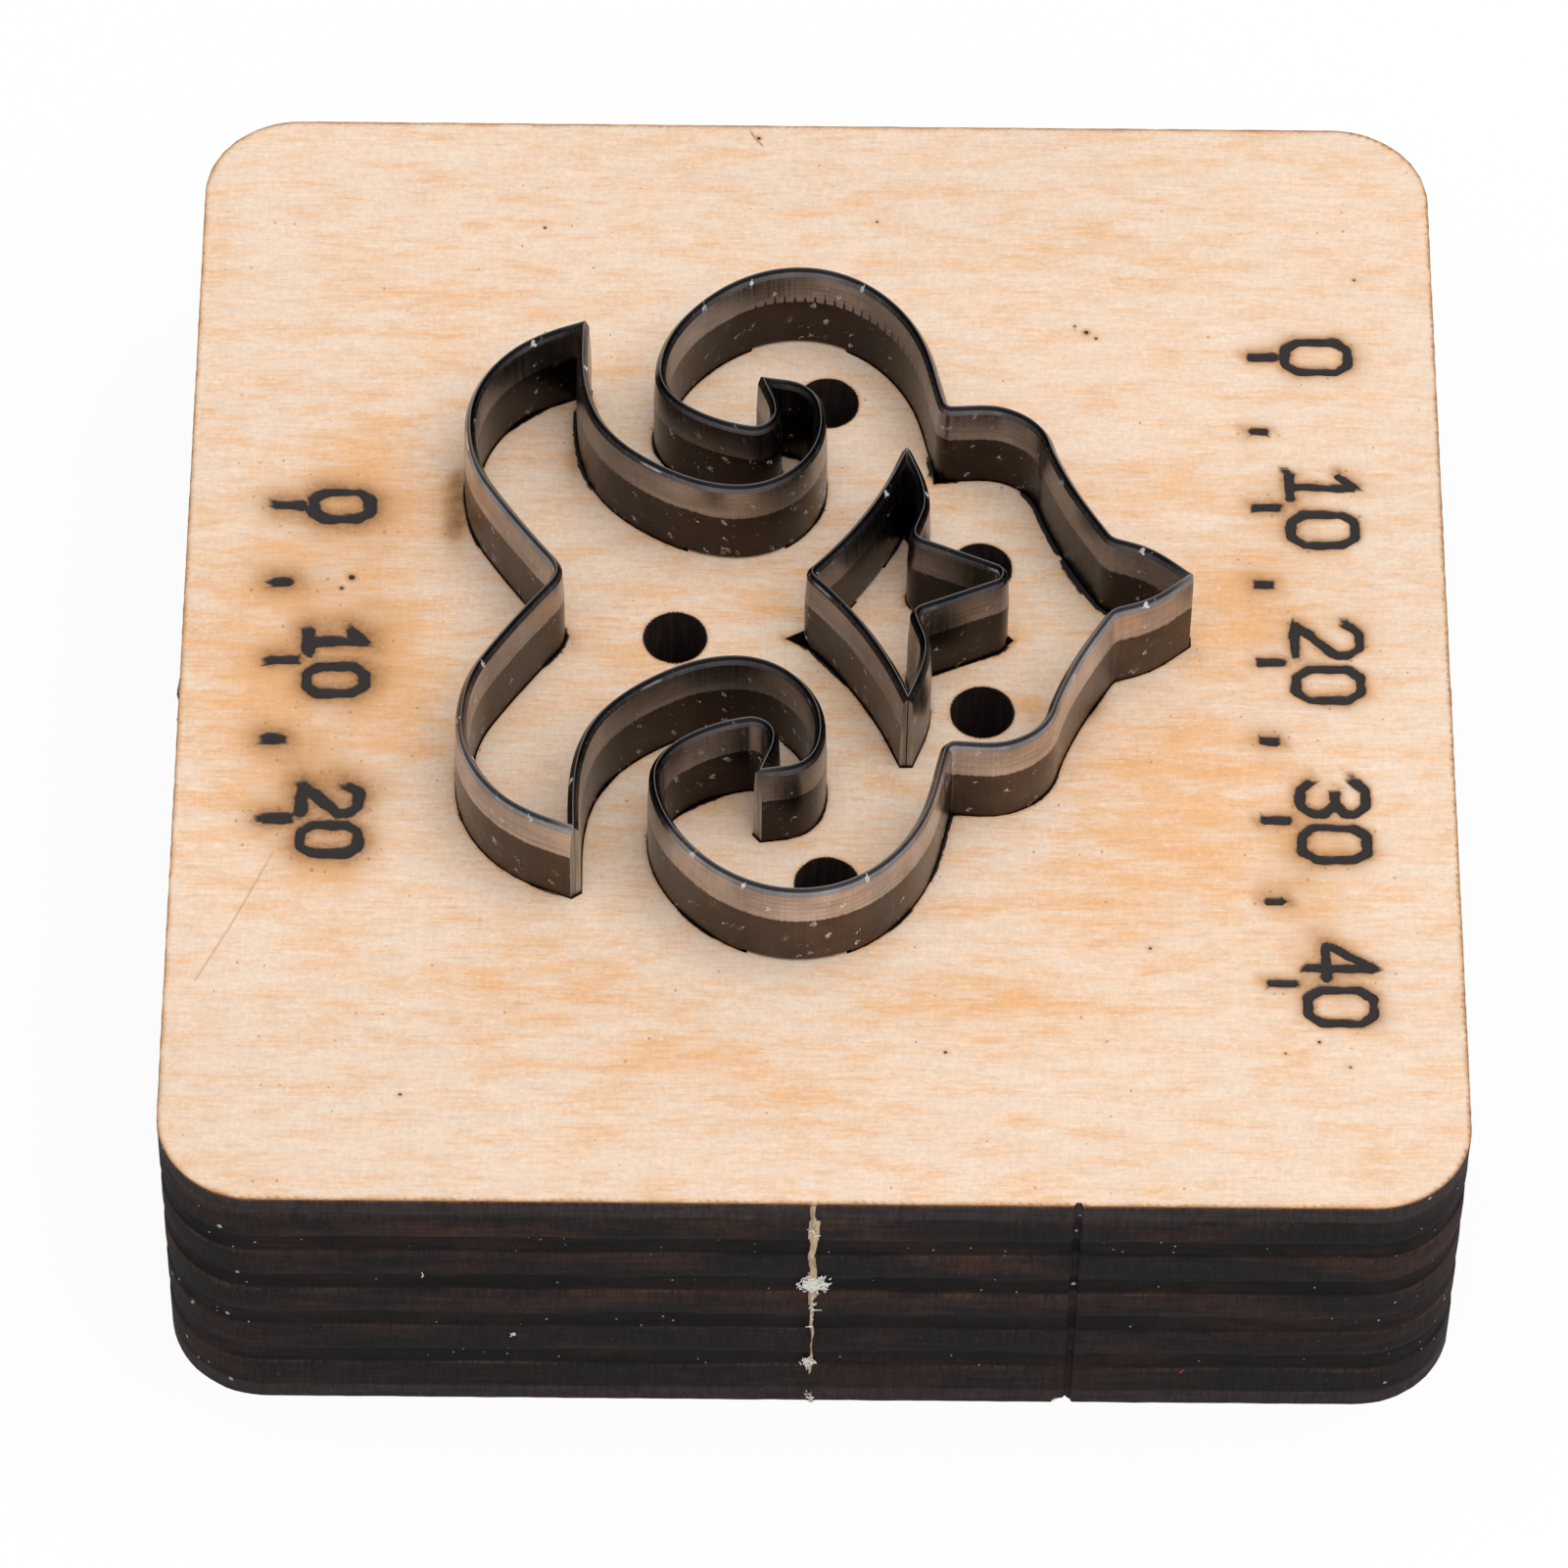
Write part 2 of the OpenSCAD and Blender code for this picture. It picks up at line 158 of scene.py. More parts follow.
class RuleLooks(bpy.types.PropertyGroup):
    """Section and colours of the cutting rule."""

    height: bpy.props.FloatProperty(
        name="Height", description="Height of the rule from its foot to its edge",
        default=0.0238, min=0.02, max=0.03, **LENGTH)
    thickness: bpy.props.FloatProperty(
        name="Thickness", description="Thickness of the rule",
        default=0.00071, min=0.0004, max=0.0011, **LENGTH)
    band_height: bpy.props.FloatProperty(
        name="Ground band", description="Height of the ground band below the bevel",
        default=0.0019, min=0.001, max=0.004, **LENGTH)
    band_depth: bpy.props.FloatProperty(
        name="Grinding depth", description="Depth ground off each side at the top of the band",
        default=0.000085, min=0, max=0.0002, **LENGTH)
    bevel_height: bpy.props.FloatProperty(
        name="Bevel", description="Height of the cutting bevel",
        default=0.00045, min=0.0001, max=0.001, **LENGTH)
    edge_width: bpy.props.FloatProperty(
        name="Edge width", description="Width of the cutting edge",
        default=0.00004, min=0.00001, max=0.0001, **LENGTH)
    body_steel: bpy.props.FloatVectorProperty(
        name="Body steel", description="Colour of the oiled strip",
        default=(0.064, 0.046, 0.036), **COLOUR)
    band_steel: bpy.props.FloatVectorProperty(
        name="Ground steel", description="Colour of the ground band",
        default=(0.40, 0.355, 0.345), **COLOUR)
    # Bevel steel: its near black is a painted dark reflection on the bevel
    bevel_steel: bpy.props.FloatVectorProperty(
        name="Bevel steel", description="Colour of the dark bevel",
        default=(0.013, 0.013, 0.015), **COLOUR)
    # Bare steel: the colour of the cut ends, and of the painted highlight line under the bevel
    bare_steel: bpy.props.FloatVectorProperty(
        name="Bare steel", description="Colour of the bright line under the bevel and of the cut ends",
        default=(0.80, 0.77, 0.70), **COLOUR)
    lint: bpy.props.FloatVectorProperty(
        name="Lint", description="Colour of the lint and dust on the steel",
        default=(0.74, 0.74, 0.75), **COLOUR)


class StageLooks(bpy.types.PropertyGroup):
    """Floor, light and camera."""

    floor: bpy.props.FloatVectorProperty(
        name="Floor", description="Colour of the floor",
        default=(0.92, 0.92, 0.92), **COLOUR)
    sky_level: bpy.props.FloatProperty(
        name="Sky", description="Level of the even light all round", default=0.50, min=0, max=2)
    lamp_level: bpy.props.FloatProperty(
        name="Lamp", description="Power of the large soft lamp above",
        default=4.6, subtype="POWER", min=0, max=100)
    lens: bpy.props.FloatProperty(
        name="Lens", description="Focal length of the camera, in millimetres",
        default=211.36, min=20, max=400)


# Helpers for meshes

def smooth(value, low, high):
    """0 at low, 1 at high, with a smooth cubic step between them."""
    t = np.clip((value - low) / (high - low), 0, 1)
    return t * t * (3 - 2 * t)


def ripple(x, y, seed):
    """An uneven value from 0 to 1 over the plane: the mean of six sine waves of random direction."""
    draw = np.random.default_rng(seed)
    angle = draw.uniform(0, 2 * np.pi, 6)
    pitch = draw.uniform(0.5, 2.4, 6)
    phase = draw.uniform(0, 2 * np.pi, 6)
    across = np.multiply.outer(x, np.cos(angle)) + np.multiply.outer(y, np.sin(angle))
    return 0.5 + 0.5 * np.clip(np.sin(across * pitch + phase).mean(-1) * 1.9, -1, 1)


def parts_of(count, size=3000):
    """Index ranges that cover count things, size at a time."""
    return [slice(start, min(start + size, count)) for start in range(0, count, size)]


def distance_to(places, edges):
    """Least distance from each place to straight edges, on which it is dropped and held to their ends."""
    a = edges[:, 0]
    run = edges[:, 1] - a
    square = np.maximum((run ** 2).sum(1), 1e-12)
    least = np.empty(len(places))
    for part in parts_of(len(places)):
        gap = places[part][:, None] - a
        t = np.clip((gap * run).sum(-1) / square, 0, 1)
        gap -= t[..., None] * run
        least[part] = np.sqrt((gap ** 2).sum(-1).min(1))
    return least


def inside(places, edges):
    """Whether places lie inside closed outlines: a ray towards +x crosses an odd number of edges."""
    a = edges[:, 0]
    b = edges[:, 1]
    rise = np.where(b[:, 1] == a[:, 1], 1, b[:, 1] - a[:, 1])
    slope = (b[:, 0] - a[:, 0]) / rise
    found = np.empty(len(places), bool)
    for part in parts_of(len(places)):
        x = places[part][:, None, 0]
        y = places[part][:, None, 1]
        spans = (a[:, 1] > y) != (b[:, 1] > y)
        found[part] = (spans & (x < a[:, 0] + (y - a[:, 1]) * slope)).sum(1) % 2 == 1
    return found


def thinned(places, cell):
    """One place from each square cell of a grid."""
    keys = np.round(places / cell).astype(int)
    first = np.unique(keys, axis=0, return_index=True)[1]
    return places[np.sort(first)]


def segments(line):
    """The straight edges of a line of points."""
    return np.stack([line[:-1], line[1:]], 1)


def way_along(points):
    """Distance along a line of points at each of them: the sum of the straight steps so far."""
    return np.r_[0, np.cumsum(np.linalg.norm(np.diff(points, axis=0), axis=1))]


def grid_faces(rows, columns):
    """Four-sided faces between the rows of a grid whose columns close to a ring."""
    i, j = (part.ravel() for part in np.meshgrid(np.arange(rows - 1), np.arange(columns), indexing="ij"))
    k = (j + 1) % columns
    return np.c_[i * columns + j, i * columns + k, (i + 1) * columns + k, (i + 1) * columns + j]


def piece_from(name, points, faces, materials, face_slots, values, sharp_angle):
    """A piece at the origin from places in millimetres, its faces outwards and its values as attributes."""
    mesh = bpy.data.meshes.new(name)
    mesh.from_pydata((np.asarray(points) * MM).tolist(), [], faces)
    if face_slots is not None:
        mesh.polygons.foreach_set("material_index", np.asarray(face_slots, np.int32))
    for key, numbers in values.items():
        layer = mesh.attributes.new(key, "FLOAT", "POINT")
        layer.data.foreach_set("value", np.asarray(numbers, np.float32))
    shape = bmesh.new()
    shape.from_mesh(mesh)
    bmesh.ops.remove_doubles(shape, verts=shape.verts, dist=2e-7)
    bmesh.ops.dissolve_degenerate(shape, edges=shape.edges, dist=1e-7)
    bmesh.ops.recalc_face_normals(shape, faces=shape.faces)
    shape.to_mesh(mesh)
    shape.free()
    mesh.polygons.foreach_set("use_smooth", np.ones(len(mesh.polygons), bool))
    mesh.set_sharp_from_angle(angle=math.radians(sharp_angle))
    for material in materials:
        mesh.materials.append(material)
    piece = bpy.data.objects.new(name, mesh)
    bpy.context.scene.collection.objects.link(piece)
    return piece


# Helpers for materials

class Field:
    """A value or a colour over a surface, as a node's output, with arithmetic that adds nodes."""

    def __init__(self, tree, socket):
        self.tree = tree
        self.socket = socket

    def step(self, operation, first, second):
        """One arithmetic step on two values."""
        return field(self.tree, "ShaderNodeMath", {0: first, 1: second}, operation=operation)

    def alone(self, operation):
        """One arithmetic step on the value alone."""
        return self.step(operation, self, 0.0)

    def __add__(self, other):
        return self.step("ADD", self, other)

    def __sub__(self, other):
        return self.step("SUBTRACT", self, other)

    def __rsub__(self, other):
        return self.step("SUBTRACT", other, self)

    def __mul__(self, other):
        return self.step("MULTIPLY", self, other)

    def __pow__(self, other):
        return self.step("POWER", self, other)

    def __lt__(self, other):
        return self.step("LESS_THAN", self, other)

    def larger(self, other):
        """The larger of two values."""
        return self.step("MAXIMUM", self, other)

    def ramp(self, low, high, to_low=0.0, to_high=1.0):
        """The value carried smoothly from low..high to to_low..to_high."""
        sockets = {"Value": self, "From Min": low, "From Max": high, "To Min": to_low, "To Max": to_high}
        return field(self.tree, "ShaderNodeMapRange", sockets, interpolation_type="SMOOTHSTEP")

    def mix(self, first, second):
        """The first colour where the value is 0, and the second where it is 1."""
        return mixed(self.tree, self, first, second, "MIX")


def node(tree, kind, sockets=None, **settings):
    """A new node, with its settings and with sockets set to values or linked to fields."""
    made = tree.nodes.new(kind)
    for key, value in settings.items():
        setattr(made, key, value)
    for key, value in (sockets or {}).items():
        if isinstance(value, Field):
            tree.links.new(value.socket, made.inputs[key])
        else:
            made.inputs[key].default_value = value
    return made


def field(tree, kind, sockets=None, output=0, **settings):
    """A new node's output."""
    return Field(tree, node(tree, kind, sockets, **settings).outputs[output])


def mixed(tree, factor, first, second, kind):
    """Two colours mixed by a factor."""
    ends = [end if isinstance(end, Field) else (*end[:3], 1) for end in (first, second)]
    sockets = {0: factor, 6: ends[0], 7: ends[1]}
    return field(tree, "ShaderNodeMix", sockets, 2, data_type="RGBA", blend_type=kind)


def tinted(tree, colour, shade):
    """A colour times a grey shade."""
    grey = field(tree, "ShaderNodeCombineColor", {0: shade, 1: shade, 2: shade})
    return mixed(tree, 1.0, colour, grey, "MULTIPLY")


def new_material(name, roughness=0.5, shine=0.5):
    """A material with a principled shader, as (material, tree, shader)."""
    material = bpy.data.materials.new(name)
    material.use_nodes = True
    tree = material.node_tree
    shader = tree.nodes["Principled BSDF"]
    shader.inputs["Roughness"].default_value = roughness
    shader.inputs["Specular IOR Level"].default_value = shine
    return material, tree, shader


def drive(shader, **fields):
    """Link fields to a shader's sockets, named in small letters."""
    for key, value in fields.items():
        value.tree.links.new(value.socket, shader.inputs[key.replace("_", " ").title()])


def object_place(tree):
    """The place in the piece's own frame."""
    return field(tree, "ShaderNodeTexCoord", None, "Object")


def object_height(tree):
    """The height in the piece's own frame."""
    return field(tree, "ShaderNodeSeparateXYZ", {0: object_place(tree)}, 2)


def attribute(tree, name):
    """The value of one of the piece's own attributes."""
    return field(tree, "ShaderNodeAttribute", None, "Fac", attribute_name=name)


def stretched(tree, scale, source=None):
    """Object coordinates, or a source, scaled per axis, in cells to the metre."""
    sockets = {"Vector": source or object_place(tree), "Scale": scale}
    return field(tree, "ShaderNodeMapping", sockets)


def noise(tree, scale, detail, roughness, source=None):
    """Noise from 0 to 1 with so many cells to the metre on each axis."""
    sockets = {"Vector": stretched(tree, scale, source), "Scale": 1.0}
    sockets.update({"Detail": detail, "Roughness": roughness})
    return field(tree, "ShaderNodeTexNoise", sockets, "Fac")


def specks(tree, scale, radius, share, source=None, dimensions="2D"):
    """Round specks: 1 within radius of the middle of a share of the cells of a random pattern."""
    sockets = {"Vector": stretched(tree, scale, source), "Scale": 1.0}
    cells = node(tree, "ShaderNodeTexVoronoi", sockets, voronoi_dimensions=dimensions)
    gap, colour = (Field(tree, cells.outputs[name]) for name in ("Distance", "Color"))
    parts = node(tree, "ShaderNodeSeparateColor", {"Color": colour})
    chosen, size = (Field(tree, parts.outputs[part]) for part in (0, 1))
    return (gap < size ** 2.0 * radius) * (chosen < share)


def bump(shader, height, distance, strength):
    """A bump from a height, given its depth in metres."""
    sockets = {"Height": height, "Distance": distance, "Strength": strength}
    drive(shader, normal=field(height.tree, "ShaderNodeBump", sockets))


# The motif's lines

def other_half(half):
    """A drawn half's mirror image across the axis, run on from its end."""
    return [(x, -y, 180 - turn) for x, y, turn in half[-2::-1]]


def line_through(knots, step=0.12, straight_end=1.3):
    """Places and directions along a strip, by cubic curves through its knots, straight at both ends.

    Each handle is the chord over three times the squared cosine of a quarter of the turn.
    """
    knots = np.array(knots, float)
    places = knots[:, :2] + (MOTIF_X, MOTIF_Y)
    angles = np.radians(knots[:, 2])
    runs = np.c_[np.cos(angles), np.sin(angles)]
    points, headings = [], []
    for a, b, run_a, run_b in zip(places[:-1], places[1:], runs[:-1], runs[1:]):
        turn = math.atan2(run_a[0] * run_b[1] - run_a[1] * run_b[0], run_a @ run_b)
        chord = np.linalg.norm(b - a)
        handle = chord / (3 * math.cos(turn / 4) ** 2)
        count = max(2, math.ceil(chord / step), math.ceil(abs(math.degrees(turn)) / 3))
        t = np.linspace(0, 1, count, endpoint=False)[:, None]
        s = 1 - t
        c, d = a + handle * run_a, b - handle * run_b
        points.append(s ** 3 * a + 3 * s * s * t * c + 3 * s * t * t * d + t ** 3 * b)
        headings.append(s * s * (c - a) + 2 * s * t * (d - c) + t * t * (b - d))
    points = np.vstack([*points, places[-1:]])
    headings = np.vstack([*headings, runs[-1:]])
    ends = np.minimum(
        np.linalg.norm(points - points[0], axis=1), np.linalg.norm(points - points[-1], axis=1))
    kept = ends > straight_end
    kept[[0, -1]] = True
    points, headings = points[kept], headings[kept]
    headings[0] = points[1] - points[0]
    headings[-1] = points[-1] - points[-2]
    return points, np.arctan2(headings[:, 1], headings[:, 0])


def flipped(line):
    """A line's mirror image across the motif's axis."""
    points, headings = line
    return np.c_[points[:, 0], 2 * MOTIF_Y - points[:, 1]], -headings


def motif_lines():
    """Every strip's line by name."""
    arm = line_through(ARM)
    loop = line_through(LOOP)
    return {
        "left_lobe": line_through(LOBE_HALF + other_half(LOBE_HALF)),
        "upper_arm": arm,
        "upper_loop": loop,
        "lower_loop": flipped(loop),
        "lower_arm": flipped(arm),
        "inner_chevron": line_through(CHEVRON_HALF + other_half(CHEVRON_HALF)),
        "inner_arrow": line_through(ARROW_HALF + other_half(ARROW_HALF)),
    }


# Burnt scales on the board: plain ticks and figures

FIGURES = {
    "0": [[(0.15, 0), (0.45, 0), (0.6, 0.2), (0.6, 0.8), (0.45, 1), (0.15, 1), (0, 0.8), (0, 0.2),
           (0.15, 0)]],
    "1": [[(0.08, 0.76), (0.32, 1), (0.32, 0)], [(0.08, 0), (0.56, 0)]],
    "2": [[(0, 0.8), (0.15, 1), (0.45, 1), (0.6, 0.82), (0.6, 0.64), (0, 0), (0.6, 0)]],
    "3": [[(0, 0.85), (0.15, 1), (0.45, 1), (0.6, 0.83), (0.6, 0.66), (0.42, 0.52), (0.2, 0.52)],
          [(0.42, 0.52), (0.6, 0.37), (0.6, 0.18), (0.45, 0), (0.15, 0), (0, 0.15)]],
    "4": [[(0.45, 0), (0.45, 1), (0, 0.3), (0.62, 0.3)]],
}


def scale_strokes(tick_x, figure_x, figure_height, start_y, length):
    """Strokes of a burnt scale that reads towards -y with its tops towards +x.

    There is a tick every five millimetres, and a longer one with its figure every ten.
    """
    strokes = []
    for at in range(0, length + 1, 5):
        tall = 1.3 if at % 10 == 0 else 0.8
        y = start_y - at
        strokes.append([(tick_x, y), (tick_x + tall, y)])
    for at in range(0, length + 1, 10):
        word = str(at)
        wide = figure_height * (0.86 * len(word) - 0.26)
        for place, figure in enumerate(word):
            y0 = start_y - at + wide / 2 - place * 0.86 * figure_height
            for line in FIGURES[figure]:
                strokes.append([(figure_x + v * figure_height, y0 - u * figure_height) for u, v in line])
    return [np.array(stroke, float) for stroke in strokes]


RIGHT_SCALE = scale_strokes(22.7, 24.6, 3.3, 19.0, 40)
LEFT_SCALE = scale_strokes(-27.9, -26.0, 2.9, 8.6, 20)


# The board

def merged_node(name):
    """Places in millimetres and triangles of a CAD node, with its loose corners merged."""
    shape = bmesh.new()
    shape.from_mesh(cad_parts[name].data)
    bmesh.ops.remove_doubles(shape, verts=shape.verts, dist=1e-6)
    bmesh.ops.triangulate(shape, faces=shape.faces)
    shape.verts.index_update()
    points = np.array([v.co for v in shape.verts]) / MM
    corners = np.array([[v.index for v in face.verts] for face in shape.faces])
    shape.free()
    return points, corners


def lone_edges(corners):
    """Edges that only one triangle has."""
    pairs = np.sort(np.vstack([corners[:, [0, 1]], corners[:, [1, 2]], corners[:, [2, 0]]]), axis=1)
    found, counts = np.unique(pairs, axis=0, return_counts=True)
    return found[counts == 1]


def beside(line, offsets, step):
    """Places at offsets to both sides of a line, about step apart along it."""
    points, headings = line
    length = way_along(points)
    at = np.linspace(0, length[-1], max(2, int(length[-1] / step)))
    x = np.interp(at, length, points[:, 0])
    y = np.interp(at, length, points[:, 1])
    turn = np.interp(at, length, np.unwrap(headings))
    w = np.asarray(offsets)[:, None]
    return np.c_[(x - w * np.sin(turn)).ravel(), (y + w * np.cos(turn)).ravel()]


# Where the top's places lie beside slots, round holes and in from the rim, in millimetres
SLOT_OFFSETS = (0.44, 0.5, 0.58, 0.7, 0.95, 1.4)
HOLE_RINGS = (1.66, 1.74, 1.9, 2.3)
RIM_INSETS = (0.07, 0.17, 0.36)
# Where they lie round dots, in shares of the radius, and beside strokes, in shares of the width
DOT_RINGS = (0, 0.6, 1.0, 1.4, 2.2)
STROKE_OFFSETS = np.array([-1.6, -0.95, -0.62, -0.42, -0.2, 0, 0.2, 0.42, 0.62, 0.95, 1.6])


def stroke_places(strokes, width):
    """Close places on and beside burnt strokes."""
    rows = []
    for stroke in strokes:
        for a, b in zip(stroke[:-1], stroke[1:]):
            turn = math.atan2(b[1] - a[1], b[0] - a[0])
            rows.append(beside((np.array([a, b]), np.array([turn, turn])), STROKE_OFFSETS * width, 0.16))
    return np.vstack(rows)


def top_places(edges, lines, mark_width):
    """Places for the top's mesh: an even grid, closer beside slots, holes, rim and marks."""
    grid_x, grid_y = np.meshgrid(np.arange(-32.2, 32.3, 0.7), np.arange(-34.2, 34.3, 0.7))
    rows = [np.c_[grid_x.ravel(), grid_y.ravel()]]
    for line in lines.values():
        rows.append(beside(line, [*SLOT_OFFSETS, *(-w for w in SLOT_OFFSETS)], 0.3))
    around = np.linspace(0, 2 * np.pi, 48, endpoint=False)
    ring = np.c_[np.cos(around), np.sin(around)]
    for x, y in HOLES:
        for r in HOLE_RINGS:
            rows.append(ring * r + (MOTIF_X + x, MOTIF_Y + y))
    for x, y, r in DOTS:
        for share in DOT_RINGS:
            rows.append(ring[::5] * r * share + (x, y))
    for inset in RIM_INSETS:
        rows.append(rim_places(inset, 0.45))
    rows.append(stroke_places(RIGHT_SCALE + LEFT_SCALE, mark_width))
    rows.append(stroke_places([stroke for stroke, _ in SCRATCHES], 0.1))
    places = thinned(np.vstack(rows), 0.06)
    places = places[inside(places, edges)]
    return places[distance_to(places, edges) > 0.025]


def rim_places(inset, step):
    """Places along the board's rounded outline, drawn in by inset."""
    r = CORNER_R - inset
    w, d = CORE
    turn = np.linspace(0, np.pi / 2, 60)
    rows = []
    for quarter, (sx, sy) in enumerate(((1, 1), (-1, 1), (-1, -1), (1, -1))):
        a = turn + quarter * np.pi / 2
        rows.append(np.c_[sx * w + r * np.cos(a), sy * d + r * np.sin(a)])
    ring = np.vstack([*rows, rows[0][:1]])
    length = way_along(ring)
    at = np.linspace(0, length[-1], int(length[-1] / step), endpoint=False)
    return np.c_[np.interp(at, length, ring[:, 0]), np.interp(at, length, ring[:, 1])]


def rim_depth(places):
    """Distance in from the board's rounded outline: the depth inside a rounded rectangle."""
    q = np.abs(places) - CORE
    return CORNER_R - np.linalg.norm(np.maximum(q, 0), axis=1) - np.minimum(q.max(1), 0)


# Small marks on the top: burnt dots [x, y, radius], and scratches with their strength
DOTS = [
    (14.2, 20.5, 0.16), (14.7, 20.1, 0.10), (13.6, 20.9, 0.08), (-20.5, -28.2, 0.09), (-3.1, 33.6, 0.12),
    (6.5, -25.4, 0.10), (16.8, -19.0, 0.09), (25.1, -24.6, 0.10), (26.6, -26.1, 0.08), (23.4, -25.3, 0.07),
    (-23.9, 3.9, 0.22), (-24.4, 3.2, 0.14), (28.4, 24.2, 0.09), (-14.4, 27.3, 0.09), (3.2, 27.9, 0.08),
]
SCRATCHES = [
    (np.array([(-30.9, -21.4), (-29.2, -17.9), (-27.3, -13.5)]), 0.35),
    (np.array([(-3.6, 34.2), (-3.3, 33.6), (-2.9, 33.1)]), 0.6),
]
# Yellow and orange stains: [x, y, reach along x, reach along y, strength]
STAINS = [
    (10.9, -4.0, 1.1, 0.8, 1.0), (3.8, -9.0, 1.4, 0.25, 0.8), (17.5, 9.5, 5.0, 2.0, 0.5),
    (18.5, -7.5, 6.0, 2.6, 0.80), (22.0, 2.0, 4.0, 4.5, 0.80), (-22.5, -2.0, 4.0, 6.0, 0.95),
    (-23.0, 9.5, 4.0, 5.0, 0.8), (-6.5, -26.0, 4.0, 1.6, 0.75), (-1.0, -28.0, 4.5, 1.5, 0.5),
    (9.0, -22.5, 6.0, 1.8, 0.6), (-3.0, 2.5, 2.0, 1.2, 0.5), (1.4, -1.5, 1.6, 2.4, 0.35),
    (-14.0, -21.5, 6.0, 2.2, 0.5), (24.0, -14.0, 3.5, 7.0, 0.55), (-25.0, -15.0, 3.0, 5.0, 0.4),
    (12.5, -16.0, 4.0, 1.8, 0.55), (-9.5, -1.5, 3.0, 2.0, 0.45), (-20.0, 23.0, 6.0, 1.6, 0.25),
    (14.0, 26.0, 7.0, 1.4, 0.25), (9.8, 1.0, 2.0, 2.0, 0.45), (-27.5, -3.0, 4.0, 10.0, 0.9),
    (18.5, -12.0, 6.0, 6.0, 0.65), (-5.0, 0.0, 12.0, 12.0, 0.2),
]
# Soft brown clouds left by the smoke, and two painted shadows, at (-18.6, 8.6) and (-12.7, 11.6) beside the
# feet of rules on their left: [x, y, reach along x, reach along y, strength]
SMOKE_AND_SHADOWS = [
    (-18.6, 8.6, 0.7, 2.6, 1.0), (13.9, -4.1, 1.0, 0.9, 0.6), (-23.4, 2.5, 3.2, 7.5, 0.22),
    (-25.2, -9.5, 2.6, 3.5, 0.30), (-12.4, 0.0, 0.6, 0.9, 0.5), (24.5, -14.5, 2.4, 5.0, 0.24),
    (23.9, 8.5, 2.0, 3.0, 0.20), (22.6, 1.0, 2.2, 6.0, 0.12), (-12.7, 11.6, 0.5, 1.6, 0.4),
    (25.8, -20.5, 1.8, 2.0, 0.28), (19.4, -0.5, 0.8, 0.8, 0.35), (3.2, -9.2, 0.9, 0.2, 0.4),
    (2.5, 9.6, 0.25, 0.14, 0.7), (9.9, -0.2, 0.5, 0.4, 0.5),
]
# Stretches of slot that the laser burnt wide; at (12.6, 4.8)-(14.5, 2.1) and (-12.8, 14.4)-(-11.9, 10.2), on
# the left of rules, the black is partly burn and partly painted shadow: [from x, from y, to x, to y, width of
# the black]
KERFS_AND_SHADOWS = [
    (10.7, 9.2, 12.0, 6.0, 0.30), (12.6, 4.8, 14.5, 2.1, 0.38),
    (6.6, -11.2, 6.4, -15.1, 0.13), (-12.7, -0.7, -13.3, -1.7, 0.14),
    (5.6, -1.6, 9.2, -0.3, 0.16), (-0.8, -0.6, 0.4, -2.1, 0.10),
    (5.9, 11.5, 6.9, 10.8, 0.30), (1.0, 3.6, 2.4, 6.0, 0.10),
    (-12.8, 14.4, -11.9, 10.2, 0.20),
]
TIPS = [HORN, SCROLL_TIP, RIGHT_TIP, INNER_TIP]
OUTER_NOTCH = 2.7
INNER_NOTCH = 1.5

# Each strip's bridges [x, y, half length of its notch], and its two tips: the strip met and which of its ends
STRIPS = {
    "left_lobe": ([], ("upper_arm", 0), ("lower_arm", 0)),
    "upper_arm": ([(*ARM_BRIDGE, OUTER_NOTCH)], ("left_lobe", 0), ("upper_loop", -1)),
    "upper_loop": ([(*LOOP_BRIDGE, OUTER_NOTCH)], ("lower_loop", 0), ("upper_arm", -1)),
    "lower_loop": ([(LOOP_BRIDGE[0], -LOOP_BRIDGE[1], OUTER_NOTCH)], ("upper_loop", 0), ("lower_arm", -1)),
    "lower_arm": ([(ARM_BRIDGE[0], -ARM_BRIDGE[1], OUTER_NOTCH)], ("left_lobe", -1), ("lower_loop", -1)),
    "inner_chevron": ([(*CHEVRON_BRIDGE, INNER_NOTCH)], ("inner_arrow", 0), ("inner_arrow", -1)),
    "inner_arrow": ([(*ARROW_BRIDGE, INNER_NOTCH)], ("inner_chevron", 0), ("inner_chevron", -1)),
}


def away_from_ends(places):
    """0 at the bridges and tips, where the laser was off, and 1 a little way along the slots."""
    ends = [(x, y, half - 0.3, half + 1.0) for bridges, _, _ in STRIPS.values() for x, y, half in bridges]
    ends += [(x, y * way, 0.3, 1.3) for x, y in TIPS for way in (1, -1)]
    away = np.ones(len(places))
    for x, y, low, high in ends:
        gap = np.linalg.norm(places - (x + MOTIF_X, y + MOTIF_Y), axis=1)
        away = np.minimum(away, smooth(gap, low, high))
    return away


def soft_spots(x, y, spots):
    """Each soft spot's strength at places, a bell curve over its reach along x and along y."""
    for sx, sy, rx, ry, strength in spots:
        yield strength * np.exp(-((x - sx) / rx) ** 2 - ((y - sy) / ry) ** 2)


